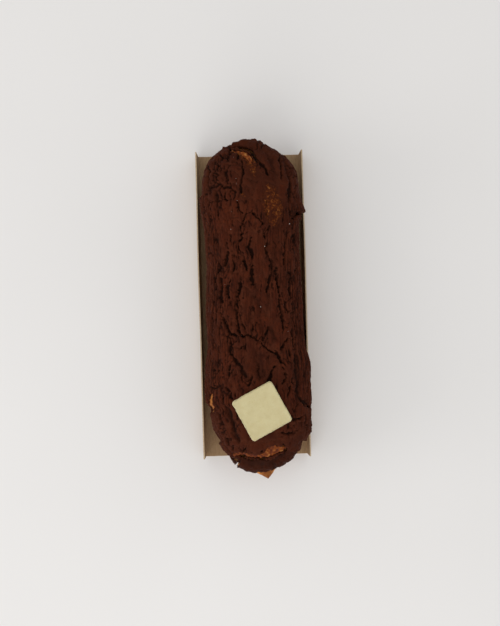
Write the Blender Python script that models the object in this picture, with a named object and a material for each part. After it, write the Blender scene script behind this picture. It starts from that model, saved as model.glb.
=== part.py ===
"""Chocolate eclair with a cracked cookie crust, in a folded card tray, with a plain plaque on top.

Metres, +Z up.  +Y runs along the eclair towards its plain end, and the plaque is at the -Y end.
The origin is the centre of the tray's underside, which is the face that the whole thing rests on.
"""
import math
import random

import bmesh
import bpy
from mathutils import Matrix, Vector

# ---- Driving dimensions -------------------------------------------------------------------------

GAP = 0.0003                   # air between pieces that touch

# Card tray: a strip folded up along both long sides, open at both ends
TRAY_LENGTH = 0.135
TRAY_WIDTH = 0.0463            # over the folds
WALL_HEIGHT = 0.012
WALL_SPLAY = 0.0005            # how far a wall's top leans out past its fold
CARD_THICKNESS = 0.0005
FOLD_RADIUS = 0.0009           # outside of each fold
FOLD_STEPS = 4

# Outline from above: y, left edge and right edge of the crust, from front to back
OUTLINE = (
    (-0.0500, -0.0196, 0.0237),
    (-0.0455, -0.0200, 0.0237),
    (-0.0415, -0.0217, 0.0237),
    (-0.0300, -0.0217, 0.0236),
    (-0.0180, -0.0207, 0.0219),
    (-0.0050, -0.0212, 0.0214),
    (0.0120, -0.0201, 0.0213),
    (0.0290, -0.0206, 0.0215),
    (0.0410, -0.0217, 0.0219),
    (0.0490, -0.0209, 0.0217),
)
FRONT_CENTRE = OUTLINE[0][0]   # the rounded ends turn about these two stations
BACK_CENTRE = OUTLINE[-1][0]
FRONT_REACH = 0.0228           # from the front centre to the crust's tip
BACK_REACH = 0.0221
FRONT_FULLNESS = 1.88          # 2 is an ellipse, less is more pointed
BACK_FULLNESS = 2.0

# Section: a loaf, widest a little below half height, flat where it rests
EQUATOR_HEIGHT = 0.0180        # height of the widest line
TOP_HEIGHT = 0.0375
TOP_SWELL = 0.0006             # slow rise and fall of the top along its length
SWELL_LENGTH = 0.095
TOP_FULLNESS = 2.75            # 2 is an ellipse, more is flatter on top
END_TOP_FULLNESS = 2.15        # the same, straight ahead over the rounded ends
BELLY_DEPTH = 0.0198           # depth of the full round below the equator, cut off flat by the tray

# Crust: a baked sheet of cookie dough, cracked into plates
CRUST_THICKNESS = 0.0021
CRACK_DEPTH = 0.0009
CRACK_HALF_WIDTH = 0.00042
EDGE_ANGLE = math.radians(112)         # from the top round to the crust's lower edge
FRONT_EDGE_ANGLE = math.radians(97)
EDGE_WANDER = math.radians(5)
SIDE_PLATES = 8                        # plates along each side
END_PLATES = 6                         # plates round each end
PLATE_ROWS = 9                         # rows from the lower edge up to the top
RIDGE_ROW = 0.35                       # height of the top row against the others
PLATE_JITTER = 0.22
PLATE_SEED = 11

# Choux bun under the crust, with two steps to a plate
CHOUX_RINGS = 9                        # from the ridge to the crust's lower edge
BELLY_RINGS = 4                        # from there to the flat underside
NUB_PUSH = (0.0024, -0.0072, 0.0)      # a bare tip of choux squeezed out under the crust in front
NUB_WAY = 3.5                          # where it is round the eclair, and how wide
NUB_WIDTH = 0.06
NUB_ANGLE = math.radians(110)
NUB_SPREAD = math.radians(12)

# Plaque: a square of white chocolate, laid askew on the top
PLAQUE_SIDE = 0.0185
PLAQUE_THICKNESS = 0.0018
PLAQUE_CORNER = 0.0013
PLAQUE_EDGE = 0.0003
PLAQUE_CENTRE = (0.0019, -0.0453)
PLAQUE_TURN = math.radians(27.5)
PLAQUE_LEAN = math.radians(1.5)        # down towards the front
PLAQUE_LIFT = 0.0008                   # over the plates that it lies on

COLOURS = {
    "card": (0.30, 0.19, 0.11, 1.0),
    "choux": (0.42, 0.20, 0.07, 1.0),
    "crust": (0.042, 0.012, 0.007, 1.0),
    "plaque": (0.66, 0.59, 0.37, 1.0),
}


# ---- Small helpers ------------------------------------------------------------------------------

def clear_scene():
    for thing in list(bpy.data.objects):
        bpy.data.objects.remove(thing, do_unlink=True)


def make_material(name, colour, roughness):
    material = bpy.data.materials.new(name)
    material.use_nodes = True
    shader = material.node_tree.nodes["Principled BSDF"]
    shader.inputs["Base Color"].default_value = colour
    shader.inputs["Roughness"].default_value = roughness
    shader.inputs["Metallic"].default_value = 0.0
    material.diffuse_color = colour
    return material


def make_object(name, shape, material):
    """Turn a bmesh into a named object, with its faces pointing out."""
    bmesh.ops.recalc_face_normals(shape, faces=shape.faces)
    mesh = bpy.data.meshes.new(name)
    shape.to_mesh(mesh)
    shape.free()
    mesh.materials.append(material)
    thing = bpy.data.objects.new(name, mesh)
    bpy.context.scene.collection.objects.link(thing)
    return thing


def ease(amount):
    return amount * amount * (3.0 - 2.0 * amount)


def bump(value, centre, spread):
    return math.exp(-((value - centre) / spread) ** 2)


# ---- Form shared by the choux and the crust -----------------------------------------------------

def edges_at(y):
    """Left and right edge of the outline at y."""
    y = min(max(y, FRONT_CENTRE), BACK_CENTRE)
    for near, far in zip(OUTLINE, OUTLINE[1:]):
        if y <= far[0]:
            amount = ease((y - near[0]) / (far[0] - near[0]))
            left = near[1] + (far[1] - near[1]) * amount
            right = near[2] + (far[2] - near[2]) * amount
            return left, right
    return OUTLINE[-1][1:]


def rounded(cosine, sine, fullness):
    """A direction pushed from the circle onto a superellipse."""
    power = 2.0 / fullness
    across = math.copysign(abs(cosine) ** power, cosine)
    along = math.copysign(abs(sine) ** power, sine)
    return across, along


def ray_at(way):
    """Spine point, and the plan offset from it to the widest line.

    way runs from 0 to 4 round the eclair: right side, back end, left side, front end.
    """
    stretch, part = divmod(way % 4.0, 1.0)
    if stretch == 0:
        y = FRONT_CENTRE + (BACK_CENTRE - FRONT_CENTRE) * part
        left, right = edges_at(y)
        return Vector(((left + right) / 2, y)), Vector(((right - left) / 2, 0.0))
    if stretch == 2:
        y = BACK_CENTRE + (FRONT_CENTRE - BACK_CENTRE) * part
        left, right = edges_at(y)
        return Vector(((left + right) / 2, y)), Vector(((left - right) / 2, 0.0))
    back = stretch == 1
    centre = BACK_CENTRE if back else FRONT_CENTRE
    reach = BACK_REACH if back else FRONT_REACH
    fullness = BACK_FULLNESS if back else FRONT_FULLNESS
    turn = math.pi * (part if back else part + 1.0)
    across, along = rounded(math.cos(turn), math.sin(turn), fullness)
    left, right = edges_at(centre)
    return Vector(((left + right) / 2, centre)), Vector(((right - left) / 2 * across, reach * along))


def top_at(y):
    return TOP_HEIGHT + TOP_SWELL * math.cos((y - PLAQUE_CENTRE[1]) / SWELL_LENGTH * math.tau)


def surface(way, angle, inset):
    """A point on the loaf, angle being 0 on the ridge and a quarter turn on the widest line."""
    spine, offset = ray_at(way)
    reach = offset * (1.0 - inset / offset.length)
    if angle <= math.pi / 2:
        ahead = abs(offset.y) / offset.length
        fullness = TOP_FULLNESS + (END_TOP_FULLNESS - TOP_FULLNESS) * ahead
        across, up = rounded(math.sin(angle), math.cos(angle), fullness)
        height = EQUATOR_HEIGHT + (top_at(spine.y) - EQUATOR_HEIGHT - inset) * up
    else:
        across, down = math.sin(angle), -math.cos(angle)
        height = EQUATOR_HEIGHT - BELLY_DEPTH * down
    return Vector((spine.x + reach.x * across, spine.y + reach.y * across, height))


def edge_angle(way):
    """How far down the crust reaches, wavering round the eclair and short at the front."""
    waver = math.sin(way * 7.0) * 0.5 + math.sin(way * 17.0 + 1.3) * 0.35 + math.sin(way * 31.0) * 0.15
    front = bump(way % 4.0, 3.55, 0.38)
    chip = bump(way % 4.0, 2.985, 0.035)
    angle = EDGE_ANGLE + EDGE_WANDER * waver * (1.0 - front)
    return angle + (FRONT_EDGE_ANGLE - EDGE_ANGLE) * max(front, chip)


def ways_round(side_steps, end_steps, shift=0.0):
    """Evenly spaced ways round the eclair, with their own steps on the sides and the ends."""
    ways = []
    for stretch in range(4):
        steps = end_steps if stretch % 2 else side_steps
        ways += [stretch + (step + shift) / steps for step in range(steps)]
    return ways


# ---- Choux bun ----------------------------------------------------------------------------------

def ring_faces(shape, rings):
    """Join equal rings of vertices with quads."""
    for inner, outer in zip(rings, rings[1:]):
        count = len(inner)
        for index in range(count):
            after = (index + 1) % count
            shape.faces.new((inner[index], outer[index], outer[after], inner[after]))


def covered_rings(shape, inset):
    """Rings of vertices from the ridge to the crust's lower edge."""
    ways = ways_round(SIDE_PLATES * 2, END_PLATES * 2)
    rings = []
    for number in range(CHOUX_RINGS + 1):
        part = number / CHOUX_RINGS
        rings.append([shape.verts.new(surface(way, edge_angle(way) * part, inset)) for way in ways])
    return ways, rings


def close_ridge(shape):
    """Weld the first ring, whose two sides fold onto the ridge line."""
    bmesh.ops.remove_doubles(shape, verts=shape.verts, dist=0.00002)


def make_choux(material):
    shape = bmesh.new()
    inset = CRUST_THICKNESS + GAP
    ways, rings = covered_rings(shape, inset)
    base_height = CARD_THICKNESS + GAP
    base_angle = math.acos((base_height - EQUATOR_HEIGHT) / BELLY_DEPTH)
    for number in range(1, BELLY_RINGS + 1):
        part = number / BELLY_RINGS
        ring = []
        for way in ways:
            start = edge_angle(way)
            angle = start + (base_angle - start) * part
            nub = bump(way, NUB_WAY, NUB_WIDTH) * bump(angle, NUB_ANGLE, NUB_SPREAD)
            ring.append(shape.verts.new(surface(way, angle, inset) + Vector(NUB_PUSH) * nub))
        rings.append(ring)
    ring_faces(shape, rings)
    underside = shape.faces.new(rings[-1])
    close_ridge(shape)
    bmesh.ops.triangulate(shape, faces=[underside])
    thing = make_object("choux_bun", shape, material)
    thing.data.shade_smooth()
    thing.data.set_sharp_from_angle(angle=math.radians(50))
    return thing


# ---- Craquelin crust ----------------------------------------------------------------------------

def plate_angle(line, way):
    """Angle of the line between two rows of plates, counted up from the lower edge."""
    rows = PLATE_ROWS - 1 + RIDGE_ROW
    return edge_angle(way) * (1.0 - min(line / rows, 1.0))


def plate_lines(shape, rng):
    """Lines of vertices with two to each plate, so that the rows can be laid like bricks."""
    lines = []
    for line in range(PLATE_ROWS + 1):
        lowest, ridge = line == 0, line == PLATE_ROWS
        verts = []
        for way in ways_round(SIDE_PLATES * 2, END_PLATES * 2):
            stretch, part = divmod(way, 1.0)
            steps = END_PLATES if stretch % 2 else SIDE_PLATES
            row_height = EDGE_ANGLE / PLATE_ROWS
            along = rng.uniform(-1, 1) * PLATE_JITTER / steps * (0.0 < part)
            up = rng.uniform(-1, 1) * PLATE_JITTER * row_height
            if ridge:
                along = up = 0.0
            if lowest:
                up *= 0.5
            angle = plate_angle(line, way + along) + up
            verts.append(shape.verts.new(surface(way + along, max(angle, 0.0), CRACK_DEPTH)))
        lines.append(verts)
    return lines


def lay_plates(shape, lines):
    """One six-cornered face to each plate, each row half a plate along from the last."""
    for row, (low, high) in enumerate(zip(lines, lines[1:])):
        count = len(low)
        start = row % 2
        for first in range(start, count + start, 2):
            one, two, three = (first % count), (first + 1) % count, (first + 2) % count
            shape.faces.new((low[one], low[two], low[three], high[three], high[two], high[one]))


def join_over_ridge(shape):
    """Run the top row of plates across the ridge, and join those that fan round each end."""
    ridge_height = TOP_HEIGHT - 2 * TOP_SWELL - CRACK_DEPTH
    ends = [Vector((sum(edges_at(y)) / 2, y)) for y in (FRONT_CENTRE, BACK_CENTRE)]

    def on_ridge(vert):
        left, right = edges_at(vert.co.y)
        inside = FRONT_CENTRE - GAP < vert.co.y < BACK_CENTRE + GAP
        return inside and abs(vert.co.x - (left + right) / 2) < GAP and vert.co.z > ridge_height

    def at_end(vert):
        return any((vert.co.xy - end).length < GAP for end in ends) and vert.co.z > ridge_height

    joined = [edge for edge in shape.edges if all(on_ridge(vert) for vert in edge.verts)]
    fans = [edge for edge in shape.edges if any(at_end(vert) for vert in edge.verts)]
    bmesh.ops.dissolve_edges(shape, edges=list(set(joined + fans)), use_verts=True)


def make_crust(material):
    shape = bmesh.new()
    lines = plate_lines(shape, random.Random(PLATE_SEED))
    lay_plates(shape, lines)
    close_ridge(shape)
    join_over_ridge(shape)
    plates = list(shape.faces)
    _, lining = covered_rings(shape, CRUST_THICKNESS)
    ring_faces(shape, lining + [lines[0]])
    close_ridge(shape)
    bmesh.ops.recalc_face_normals(shape, faces=shape.faces)
    bmesh.ops.inset_individual(
        shape, faces=plates, thickness=CRACK_HALF_WIDTH, depth=CRACK_DEPTH, use_even_offset=True)
    return make_object("craquelin_crust", shape, material)


# ---- Card tray ----------------------------------------------------------------------------------

def fold_points(radius, side, lean):
    """Quarter round of one fold, from the base up to the wall."""
    centre_x = TRAY_WIDTH / 2 - FOLD_RADIUS
    sweep = math.pi / 2 - lean
    points = []
    for step in range(FOLD_STEPS + 1):
        turn = sweep * step / FOLD_STEPS
        x = centre_x + radius * math.sin(turn)
        points.append((side * x, FOLD_RADIUS - radius * math.cos(turn)))
    return points


def tray_section():
    """Closed outline of the folded card, round the outside and back along the inside."""
    lean = math.atan2(WALL_SPLAY, WALL_HEIGHT)
    outside = fold_points(FOLD_RADIUS, 1, lean)
    inside = fold_points(FOLD_RADIUS - CARD_THICKNESS, 1, lean)
    rise = Vector((math.sin(lean), math.cos(lean)))
    for points in (outside, inside):
        foot = Vector(points[-1])
        points.append(tuple(foot + rise * ((WALL_HEIGHT - foot.y) / rise.y)))
    right = outside + inside[::-1]
    left = [(-x, z) for x, z in reversed(right)]
    return right + left


def make_tray(material):
    shape = bmesh.new()
    half = TRAY_LENGTH / 2
    verts = [shape.verts.new((x, -half, z)) for x, z in tray_section()]
    end = shape.faces.new(verts)
    grown = bmesh.ops.extrude_face_region(shape, geom=[end])
    moved = [item for item in grown["geom"] if isinstance(item, bmesh.types.BMVert)]
    bmesh.ops.translate(shape, verts=moved, vec=(0.0, TRAY_LENGTH, 0.0))
    thing = make_object("card_tray", shape, material)
    thing.data.shade_smooth()
    thing.data.set_sharp_from_angle(angle=math.radians(40))
    return thing


# ---- Plaque -------------------------------------------------------------------------------------

def make_plaque(material):
    shape = bmesh.new()
    bmesh.ops.create_cube(shape, size=1.0)
    bmesh.ops.scale(shape, verts=shape.verts, vec=(PLAQUE_SIDE, PLAQUE_SIDE, PLAQUE_THICKNESS))
    corners = [edge for edge in shape.edges if abs(edge.verts[0].co.z - edge.verts[1].co.z) > GAP]
    bmesh.ops.bevel(shape, geom=corners, offset=PLAQUE_CORNER, segments=5, profile=0.5, affect="EDGES")
    rims = [edge for edge in shape.edges if edge.calc_face_angle(0.0) > 1.0]
    bmesh.ops.bevel(shape, geom=rims, offset=PLAQUE_EDGE, segments=2, profile=0.5, affect="EDGES")
    thing = make_object("white_chocolate_plaque", shape, material)
    x, y = PLAQUE_CENTRE
    height = top_at(y) + PLAQUE_LIFT + PLAQUE_THICKNESS / 2
    thing.location = (x, y, height)
    thing.rotation_euler = (Matrix.Rotation(PLAQUE_LEAN, 3, "X") @ Matrix.Rotation(PLAQUE_TURN, 3, "Z")).to_euler()
    thing.data.shade_smooth()
    thing.data.set_sharp_from_angle(angle=math.radians(35))
    return thing


def main():
    clear_scene()
    make_tray(make_material("kraft_card", COLOURS["card"], 0.85))
    make_choux(make_material("choux_pastry", COLOURS["choux"], 0.6))
    make_crust(make_material("chocolate_craquelin", COLOURS["crust"], 0.75))
    make_plaque(make_material("white_chocolate", COLOURS["plaque"], 0.4))


main()
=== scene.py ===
"""Finish for a chocolate eclair: a cocoa cookie crust that cracked as it rose, the choux bun under it,
the card tray that it lies in, and a bare plaque of white chocolate.

The crust and the bun are laid out on one unrolled sheet, in millimetres.  On it p runs along the
eclair and q across it, both measured on the surface, and past each end centre the sheet fans round.
"""
import math

import bmesh
import bpy
import numpy as np
from mathutils import Matrix, Vector, noise


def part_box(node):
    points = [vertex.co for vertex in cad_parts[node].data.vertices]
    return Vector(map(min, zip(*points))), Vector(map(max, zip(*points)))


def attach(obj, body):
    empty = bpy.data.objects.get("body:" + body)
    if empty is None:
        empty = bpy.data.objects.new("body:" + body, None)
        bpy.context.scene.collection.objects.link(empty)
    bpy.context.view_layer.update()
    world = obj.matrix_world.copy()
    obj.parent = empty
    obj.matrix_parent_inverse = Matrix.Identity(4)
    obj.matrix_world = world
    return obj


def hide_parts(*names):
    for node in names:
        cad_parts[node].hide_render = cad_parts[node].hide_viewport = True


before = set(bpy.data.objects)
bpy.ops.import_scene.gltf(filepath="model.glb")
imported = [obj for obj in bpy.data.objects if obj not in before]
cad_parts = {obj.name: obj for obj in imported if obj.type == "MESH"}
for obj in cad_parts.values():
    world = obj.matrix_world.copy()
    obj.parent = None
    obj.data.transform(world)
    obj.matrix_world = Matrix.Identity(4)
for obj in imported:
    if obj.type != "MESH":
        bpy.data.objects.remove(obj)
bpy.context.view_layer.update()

bl_info = {
    "name": "Cracked chocolate eclair",
    "version": (1, 0, 0),
    "blender": (4, 5, 0),
    "location": "3D View > Sidebar > Eclair",
    "description": "Builds the crust, choux, card tray and plaque of a chocolate eclair",
    "category": "Add Mesh",
}

MM = 0.001

# ---- Loaf form, as the frame has it, in millimetres ---------------------------------------------

# Outline from above: y, left edge and right edge, from front to back
OUTLINE = np.array((
    (-50.0, -19.6, 23.7),
    (-45.5, -20.0, 23.7),
    (-41.5, -21.7, 23.7),
    (-30.0, -21.7, 23.6),
    (-18.0, -20.7, 21.9),
    (-5.0, -21.2, 21.4),
    (12.0, -20.1, 21.3),
    (29.0, -20.6, 21.5),
    (41.0, -21.7, 21.9),
    (49.0, -20.9, 21.7),
))
FRONT_CENTRE = OUTLINE[0, 0]
BACK_CENTRE = OUTLINE[-1, 0]
FRONT_REACH = 22.8
BACK_REACH = 22.1
FRONT_FULLNESS = 1.88
BACK_FULLNESS = 2.0
EQUATOR_HEIGHT = 18.0
TOP_HEIGHT = 37.5
TOP_SWELL = 0.6
SWELL_LENGTH = 95.0
TOP_FULLNESS = 2.75
END_TOP_FULLNESS = 2.15
BELLY_DEPTH = 19.8
CRUST_THICKNESS = 2.1
GAP = 0.3
EDGE_ANGLE = math.radians(112)         # from the ridge round to the crust's lower edge
FRONT_EDGE_ANGLE = math.radians(97)
EDGE_WANDER = math.radians(5)
BASE_ANGLE = math.radians(150.3)       # from the ridge round to the flat underside
MEAN_HALF_WIDTH = 21.5
PLAQUE_PLACE = (1.9, -45.3)

# ---- Cracks and bare places ---------------------------------------------------------------------
# Each is a stroke seen from above, in millimetres: x, y and the half width there

FISSURES = (
    # the long bend across the middle and what joins it
    ((-14, -4.5, .45), (-12.5, -9, .55), (-11, -13, .7), (-6.5, -14.5, .4), (-2, -14.5, .4), (2, -17, .45),
     (5, -20.5, .5), (9, -22.5, .65), (12.5, -27.5, .4)),
    ((-7, 1, .25), (-7, -4, .45), (-7, -9, .45), (-6.2, -14, .4)),
    ((-11, -14, .4), (-10.5, -17, .6), (-11, -21, .5), (-8.5, -24, .6), (-6, -27.5, .7), (-4.6, -31, .8)),
    # right of the plaque
    ((15.8, -13.5, .4), (16, -18, .5), (17.3, -22, .5), (16.8, -28, .7), (17.8, -32.5, .9),
     (17.5, -37.5, .7), (19.3, -42, .7), (22.5, -44.2, .7)),
    ((13.8, -48.5, .6), (16, -49.7, .7), (18.3, -49.2, .5), (20, -48, .4)),
    ((9.9, -54.8, .3), (13.3, -55.8, .4), (16.8, -54, .3)),
    ((4.6, -33.5, .9), (5.6, -31.5, .6), (7, -28, .45), (8.7, -26.7, .3)),
    ((11, -28, .45), (12.7, -31.8, .5), (11, -34.2, .4)),
    # left of it
    ((-20.3, -35.3, .4), (-17.2, -35.7, .6), (-14.7, -34.8, .4)),
    ((-13.5, -35.5, .5), (-11, -37.3, .5), (-11.5, -39.3, .4), (-10, -40.6, .4)),
    ((-14, -43.5, .7), (-12, -44.7, .6), (-11, -48, .6), (-10.2, -53, .8), (-8.3, -57.5, .6)),
    ((-17.5, -44, .4), (-16, -48, .45), (-14.7, -51, .4)),
    ((-17.5, -53, .5), (-15, -59, .45), (-12.6, -63, .5)),
    ((-1.4, -31.3, .4), (-3.5, -34.6, .5)),
    ((1.5, -69, .25), (1.5, -71.5, .4)),
    # middle of the back half
    ((-6, 41, .35), (-5.2, 37.5, .5), (-2.8, 36, .4), (.1, 37.2, .4), (2.3, 34.5, .5), (4.1, 32, .4), (3, 29.5, .3)),
    ((-2.8, 35.6, .35), (-4.6, 30.3, .55), (-4.4, 26, .4), (-5.2, 24.9, .3)),
    ((-.6, 26, .35), (-1.9, 22.3, .85), (-.3, 20, 1.0), (-.4, 17.3, .4)),
    ((-11, 24.4, .3), (-10.4, 20.2, .55), (-11.2, 16.5, .9), (-12.1, 14.5, .5)),
    ((-3.7, 18.2, .35), (-3.8, 15.8, .7), (-2.6, 13.2, .5)),
    ((0, 15.7, .4), (-.6, 12, .5), (-.6, 9.5, .9), (.1, 6.5, .4)),
    ((-14.5, 16.8, .4), (-13.8, 14, .5), (-16.4, 10.7, .6), (-16.1, 6, .6)),
    ((-9.7, 9.8, .4), (-11.1, 6, .65), (-10.8, 2, .5)),
    ((-14.3, 10, .5), (-13.6, 6.2, .6), (-14.1, 2.1, .85), (-13.3, -.5, .4)),
    ((-5.6, 7.5, .4), (-6.6, 3.4, .6), (-6.3, .5, .35)),
    ((6, 23.8, .3), (5.5, 20.9, .35), (6.6, 18, .45), (7.8, 15.5, .5), (8.1, 11.7, .5), (6.4, 8.5, .6), (5.4, 3.5, .5)),
    ((9.8, 13.4, .45), (9.7, 8.4, .55), (10.6, 4.3, .6), (10.4, 0, .5), (11.2, -5, .5), (12, -8.5, .65), (12.2, -11.5, .35)),
    ((15, 29.3, .35), (14.2, 23.8, .6), (13.3, 17.6, .5), (13.2, 12.5, .35)),
    ((15.3, 13, .4), (16.1, 9, .7), (15.2, 4.5, .8), (15.9, 1.5, .35)),
    ((16.3, -1, .3), (17, -5, .6), (16.4, -8.3, .4)),
    ((-18.2, 6, .3), (-17.2, 0, .4), (-18, -6, .35), (-17.6, -11, .3)),
    # back end
    ((3, 59.5, .35), (6.5, 55, .55), (6.8, 52.6, .45)),
    ((12.6, 62.5, .4), (12.9, 58, .6), (13, 54, .4), (13, 51, .35)),
    ((16, 53, .4), (17.1, 49.5, 1.2), (16.8, 45, 1.3), (15.8, 41, .7)),
    ((-17.8, 59, .5), (-17.4, 55, .6), (-18.4, 51.3, .5), (-18, 48.3, .5), (-15, 48, .45), (-14, 49.9, .45),
     (-11.2, 47.3, .6), (-8.7, 47.5, .5), (-6.7, 45.4, .4)),
    ((-8.4, 57, .35), (-11, 54.2, .5), (-9.4, 50.6, .4), (-8.3, 47.5, .45)),
    ((-3.4, 59, .35), (-3.1, 53.2, .5), (-4.5, 48.2, .35), (-3.8, 44.8, .35)),
    ((-19.8, 45, .5), (-20.3, 39.6, .6), (-19.7, 34, .6), (-19, 28, .5), (-18.2, 22.3, .5), (-17.5, 19.2, .4)),
)

# Shallow valleys, darkened with painted shade
HOLLOWS = (
    ((9, 22, .7), (8.3, 16, 1.1), (8.6, 10, .8)),
    ((1.3, 7, .5), (1.5, 2, .7), (1.9, -4, .7), (2.5, -13, .9), (3.5, -16, .5)),
    ((6.2, -11, .6), (8.8, -15, .8)),
    ((1.8, -22.5, 1.0), (2, -31, 1.2)),
    ((-12.5, -44, .9), (-11, -50, 1.2), (-8.6, -57.5, 1.0)),
    ((17, -22, .8), (17.3, -32, 1.3), (18.3, -41, 1.0)),
    ((-6, -67.4, .6), (0, -68.6, 1.7), (4, -68.9, 2.0), (8, -67.2, 1.3), (12, -65.0, .9)),
    ((7.5, 62, .6), (9, 57, 1.0), (10, 52, .6)),
    ((14, 66, .3), (14.5, 60, .8), (15.3, 54, .8)),
)

# Gaps in the crust where the choux bulges up through it
OPENINGS = (
    ((-10.8, -64.6, .6), (-8.4, -64.1, 1.15), (-5.7, -64.2, 1.3), (-3.3, -64.8, 1.2), (-.6, -65.1, 1.25), (1.7, -64.9, 1.4),
     (3.7, -64.0, 1.9), (5.4, -62.9, 2.6), (7, -62.4, 2.5), (9, -62.2, 1.8), (11.8, -62.2, .9)),
    ((-8.4, 64.3, .5), (-5.4, 63.7, .8), (-3.2, 62.9, 1.15), (-1.2, 61.5, 1.6), (.1, 59.7, 1.2), (.5, 57.8, .5)),
    ((-19.9, -38.9, 1.4), (-20.2, -42, 2.6), (-20.1, -45.6, 2.0)),
    ((19.4, -42.6, .35), (20.5, -44.0, .6)),
)

# Gaps that stay empty: dark slots and notches in the outline
SLOTS = (
    ((-8, -65.6, .4), (-6.3, -66.0, .7), (-3.9, -66.9, .75), (.8, -67.1, .8), (3.1, -67.2, .7), (6.1, -67.1, .7),
     (8.2, -65.8, .8), (9.8, -64.8, .8), (12.8, -63.4, .5)),
    ((-8.2, 66.0, .6), (-4.4, 66.1, 1.35), (-1.6, 65.4, 1.4), (1, 63.5, 1.0), (2.6, 60.6, .6), (3, 58, .3)),
    ((-12.4, -67, 1.0), (-9.4, -66.4, .6)),
    ((3.9, 70.8, .6), (3.7, 67.6, .35)),
    ((23.4, 37.4, .6), (20.4, 37.3, .85), (18.3, 34.6, .6), (19, 32.6, .25)),
    ((21.6, -44.6, .5), (24, -45.2, .8)),
)

# Places where the crust baked thin and the choux shows through in specks
THIN_PLACES = (
    ((-3.2, 62.0, 1.5), (-.9, 60.2, 2.2), (.3, 57.5, 2.2), (.8, 55, 1.4), (1.2, 51.5, .4)),
    ((7, 48, .5), (9, 45, 1.3), (10.4, 41, 2.6), (10.4, 36.5, 2.8), (9.5, 32.5, 1.5)),
    ((6.5, 44, 1.0), (6.8, 38, 1.6), (7.5, 33.5, 1.0)),
    ((-3.6, 45.5, .3), (-3.2, 43, .3)),
)

# Plates that baked smooth, with hardly a crack
CALM_PLACES = (
    ((-4.5, 68.3, 2.5), (0, 69, 3.0), (4, 68, 2.0)),
    ((8, 63.5, 3.5), (12, 56, 3.5), (12.5, 48, 3.0), (10, 40, 4.0), (9, 35, 3.0)),
    ((1.5, 50, 4.0), (1, 42, 2.0)),
    ((9, 51, 3.0), (6.5, 44, 3.0)),
    ((6.5, -2, 2.5), (9, -16, 2.0)),
    ((-1, 46, 3.0), (2, 62, 1.0)),
    ((-2, -18, 2.0), (-2, -27, 3.0)),
    ((9, -32, 2.0), (5, -27, 2.0)),
    ((-2, -59, 3.5), (8, -58, 3.0)),
    ((3, -70, 3.0), (-5, -69, 2.0)),
    ((14, -63, 2.0), (18, -57, 3.0)),
    ((2, 25, 2.0), (3.5, 12, 2.0), (-2, 0, 1.5)),
)

# Places where the crust crazed into small plates
CRAZED_PLACES = (
    ((-11, 61, 2.0), (-16, 55, 3.5), (-17, 47, 3.5), (-15, 40, 3.0)),
    ((-13, -37, 2.0), (-16, -44, 2.5), (-14, -55, 2.0), (-10, -61, 1.0)),
    ((13, -30, 1.5), (15.5, -40, 2.0), (17, -49, 2.0)),
)

# Plates that stand proud (the last number is how far): the curled plate behind and chips at the edge
RAISED = (
    (((-6.5, 67.7, 1.2), (-2, 68.6, 2.0), (1.5, 68.2, 1.8), (3, 66, 1.2)), .8),
    (((-11.2, 67.6, .5), (-11, 66.6, .6)), .9),
)

# How far the loaf's outline stands out from the plain form: way round the eclair, millimetres
STAND_OUT = np.array((
    (0.0, 0.2), (0.2, 0.3), (0.25, 0.8), (0.29, 0.5), (0.36, 0.0), (0.5, -0.2), (0.62, -0.5), (0.74, -0.7),
    (0.858, -0.9), (0.866, 0.2), (0.93, 0.0), (1.0, -0.3), (1.1, 0.0), (1.2, -0.6), (1.26, -1.2), (1.35, -1.4),
    (1.4, -0.7), (1.43, 0.0), (1.5, -0.3), (1.6, -0.4), (1.68, 0.0), (1.76, 0.4), (1.81, 0.9), (1.86, 0.8),
    (1.95, 0.5), (2.05, 0.5), (2.15, 0.0), (2.4, -0.4), (2.65, -0.4), (2.75, 0.0), (3.06, 0.0), (3.107, -0.8),
    (3.148, -1.3), (3.156, 0.0), (3.235, 0.0), (3.27, 1.2), (3.3, 2.0), (3.312, 2.1), (3.317, 0.5), (3.326, 0.5), (3.331, 2.5), (3.4, 2.3), (3.45, 1.8), (3.5, 1.4),
    (3.56, 1.2), (3.62, 1.0), (3.7, 1.1), (3.74, 0.8), (3.775, 0.6), (3.81, -0.6), (3.842, -1.3), (3.85, 0.3),
    (3.9, 0.4), (4.0, 0.2),
))

# Broken plates that flare out of the outline: where they break off, their reach up and down the side,
# their length along it, how far they flare, and the way that they run from the break
FLAKES = (
    (23.2, 38.3, 6.0, 9.0, 1.9, 1),
    (-22.4, 45.6, 4.0, 6.0, .9, -1),
    (23.6, -56.3, 6.0, 10.0, .8, 1),
    (-21.6, -38.2, 4.0, 7.0, .6, 1),
    (-20.8, -46.6, 4.0, 6.0, .6, -1),
)


# ---- Small helpers ------------------------------------------------------------------------------

def linear(code):
    """An sRGB hex colour as the linear values that a shader works in."""
    parts = [int(code[place:place + 2], 16) / 255 for place in (1, 3, 5)]
    return [part / 12.92 if part <= 0.04045 else ((part + 0.055) / 1.055) ** 2.4 for part in parts]


def smooth_step(value, low, high):
    part = np.clip((value - low) / (high - low), 0.0, 1.0)
    return part * part * (3.0 - 2.0 * part)


def bell(value, centre, spread):
    return np.exp(-((value - centre) / spread) ** 2)


def soft_noise(a, b, size_a, size_b, seed):
    """Smooth lattice noise from -1 to 1, whose lumps measure about size_a by size_b."""
    cells = 256
    table = np.random.default_rng(seed).uniform(-1.0, 1.0, (cells, cells))
    u, v = a / size_a + 71.3, b / size_b + 53.7
    column, row = np.floor(u).astype(int), np.floor(v).astype(int)
    s, t = u - column, v - row
    s, t = s * s * s * (s * (s * 6 - 15) + 10), t * t * t * (t * (t * 6 - 15) + 10)
    near, far = column % cells, (column + 1) % cells
    low, high = row % cells, (row + 1) % cells
    bottom = table[near, low] * (1 - s) + table[far, low] * s
    top = table[near, high] * (1 - s) + table[far, high] * s
    return bottom * (1 - t) + top * t


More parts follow.
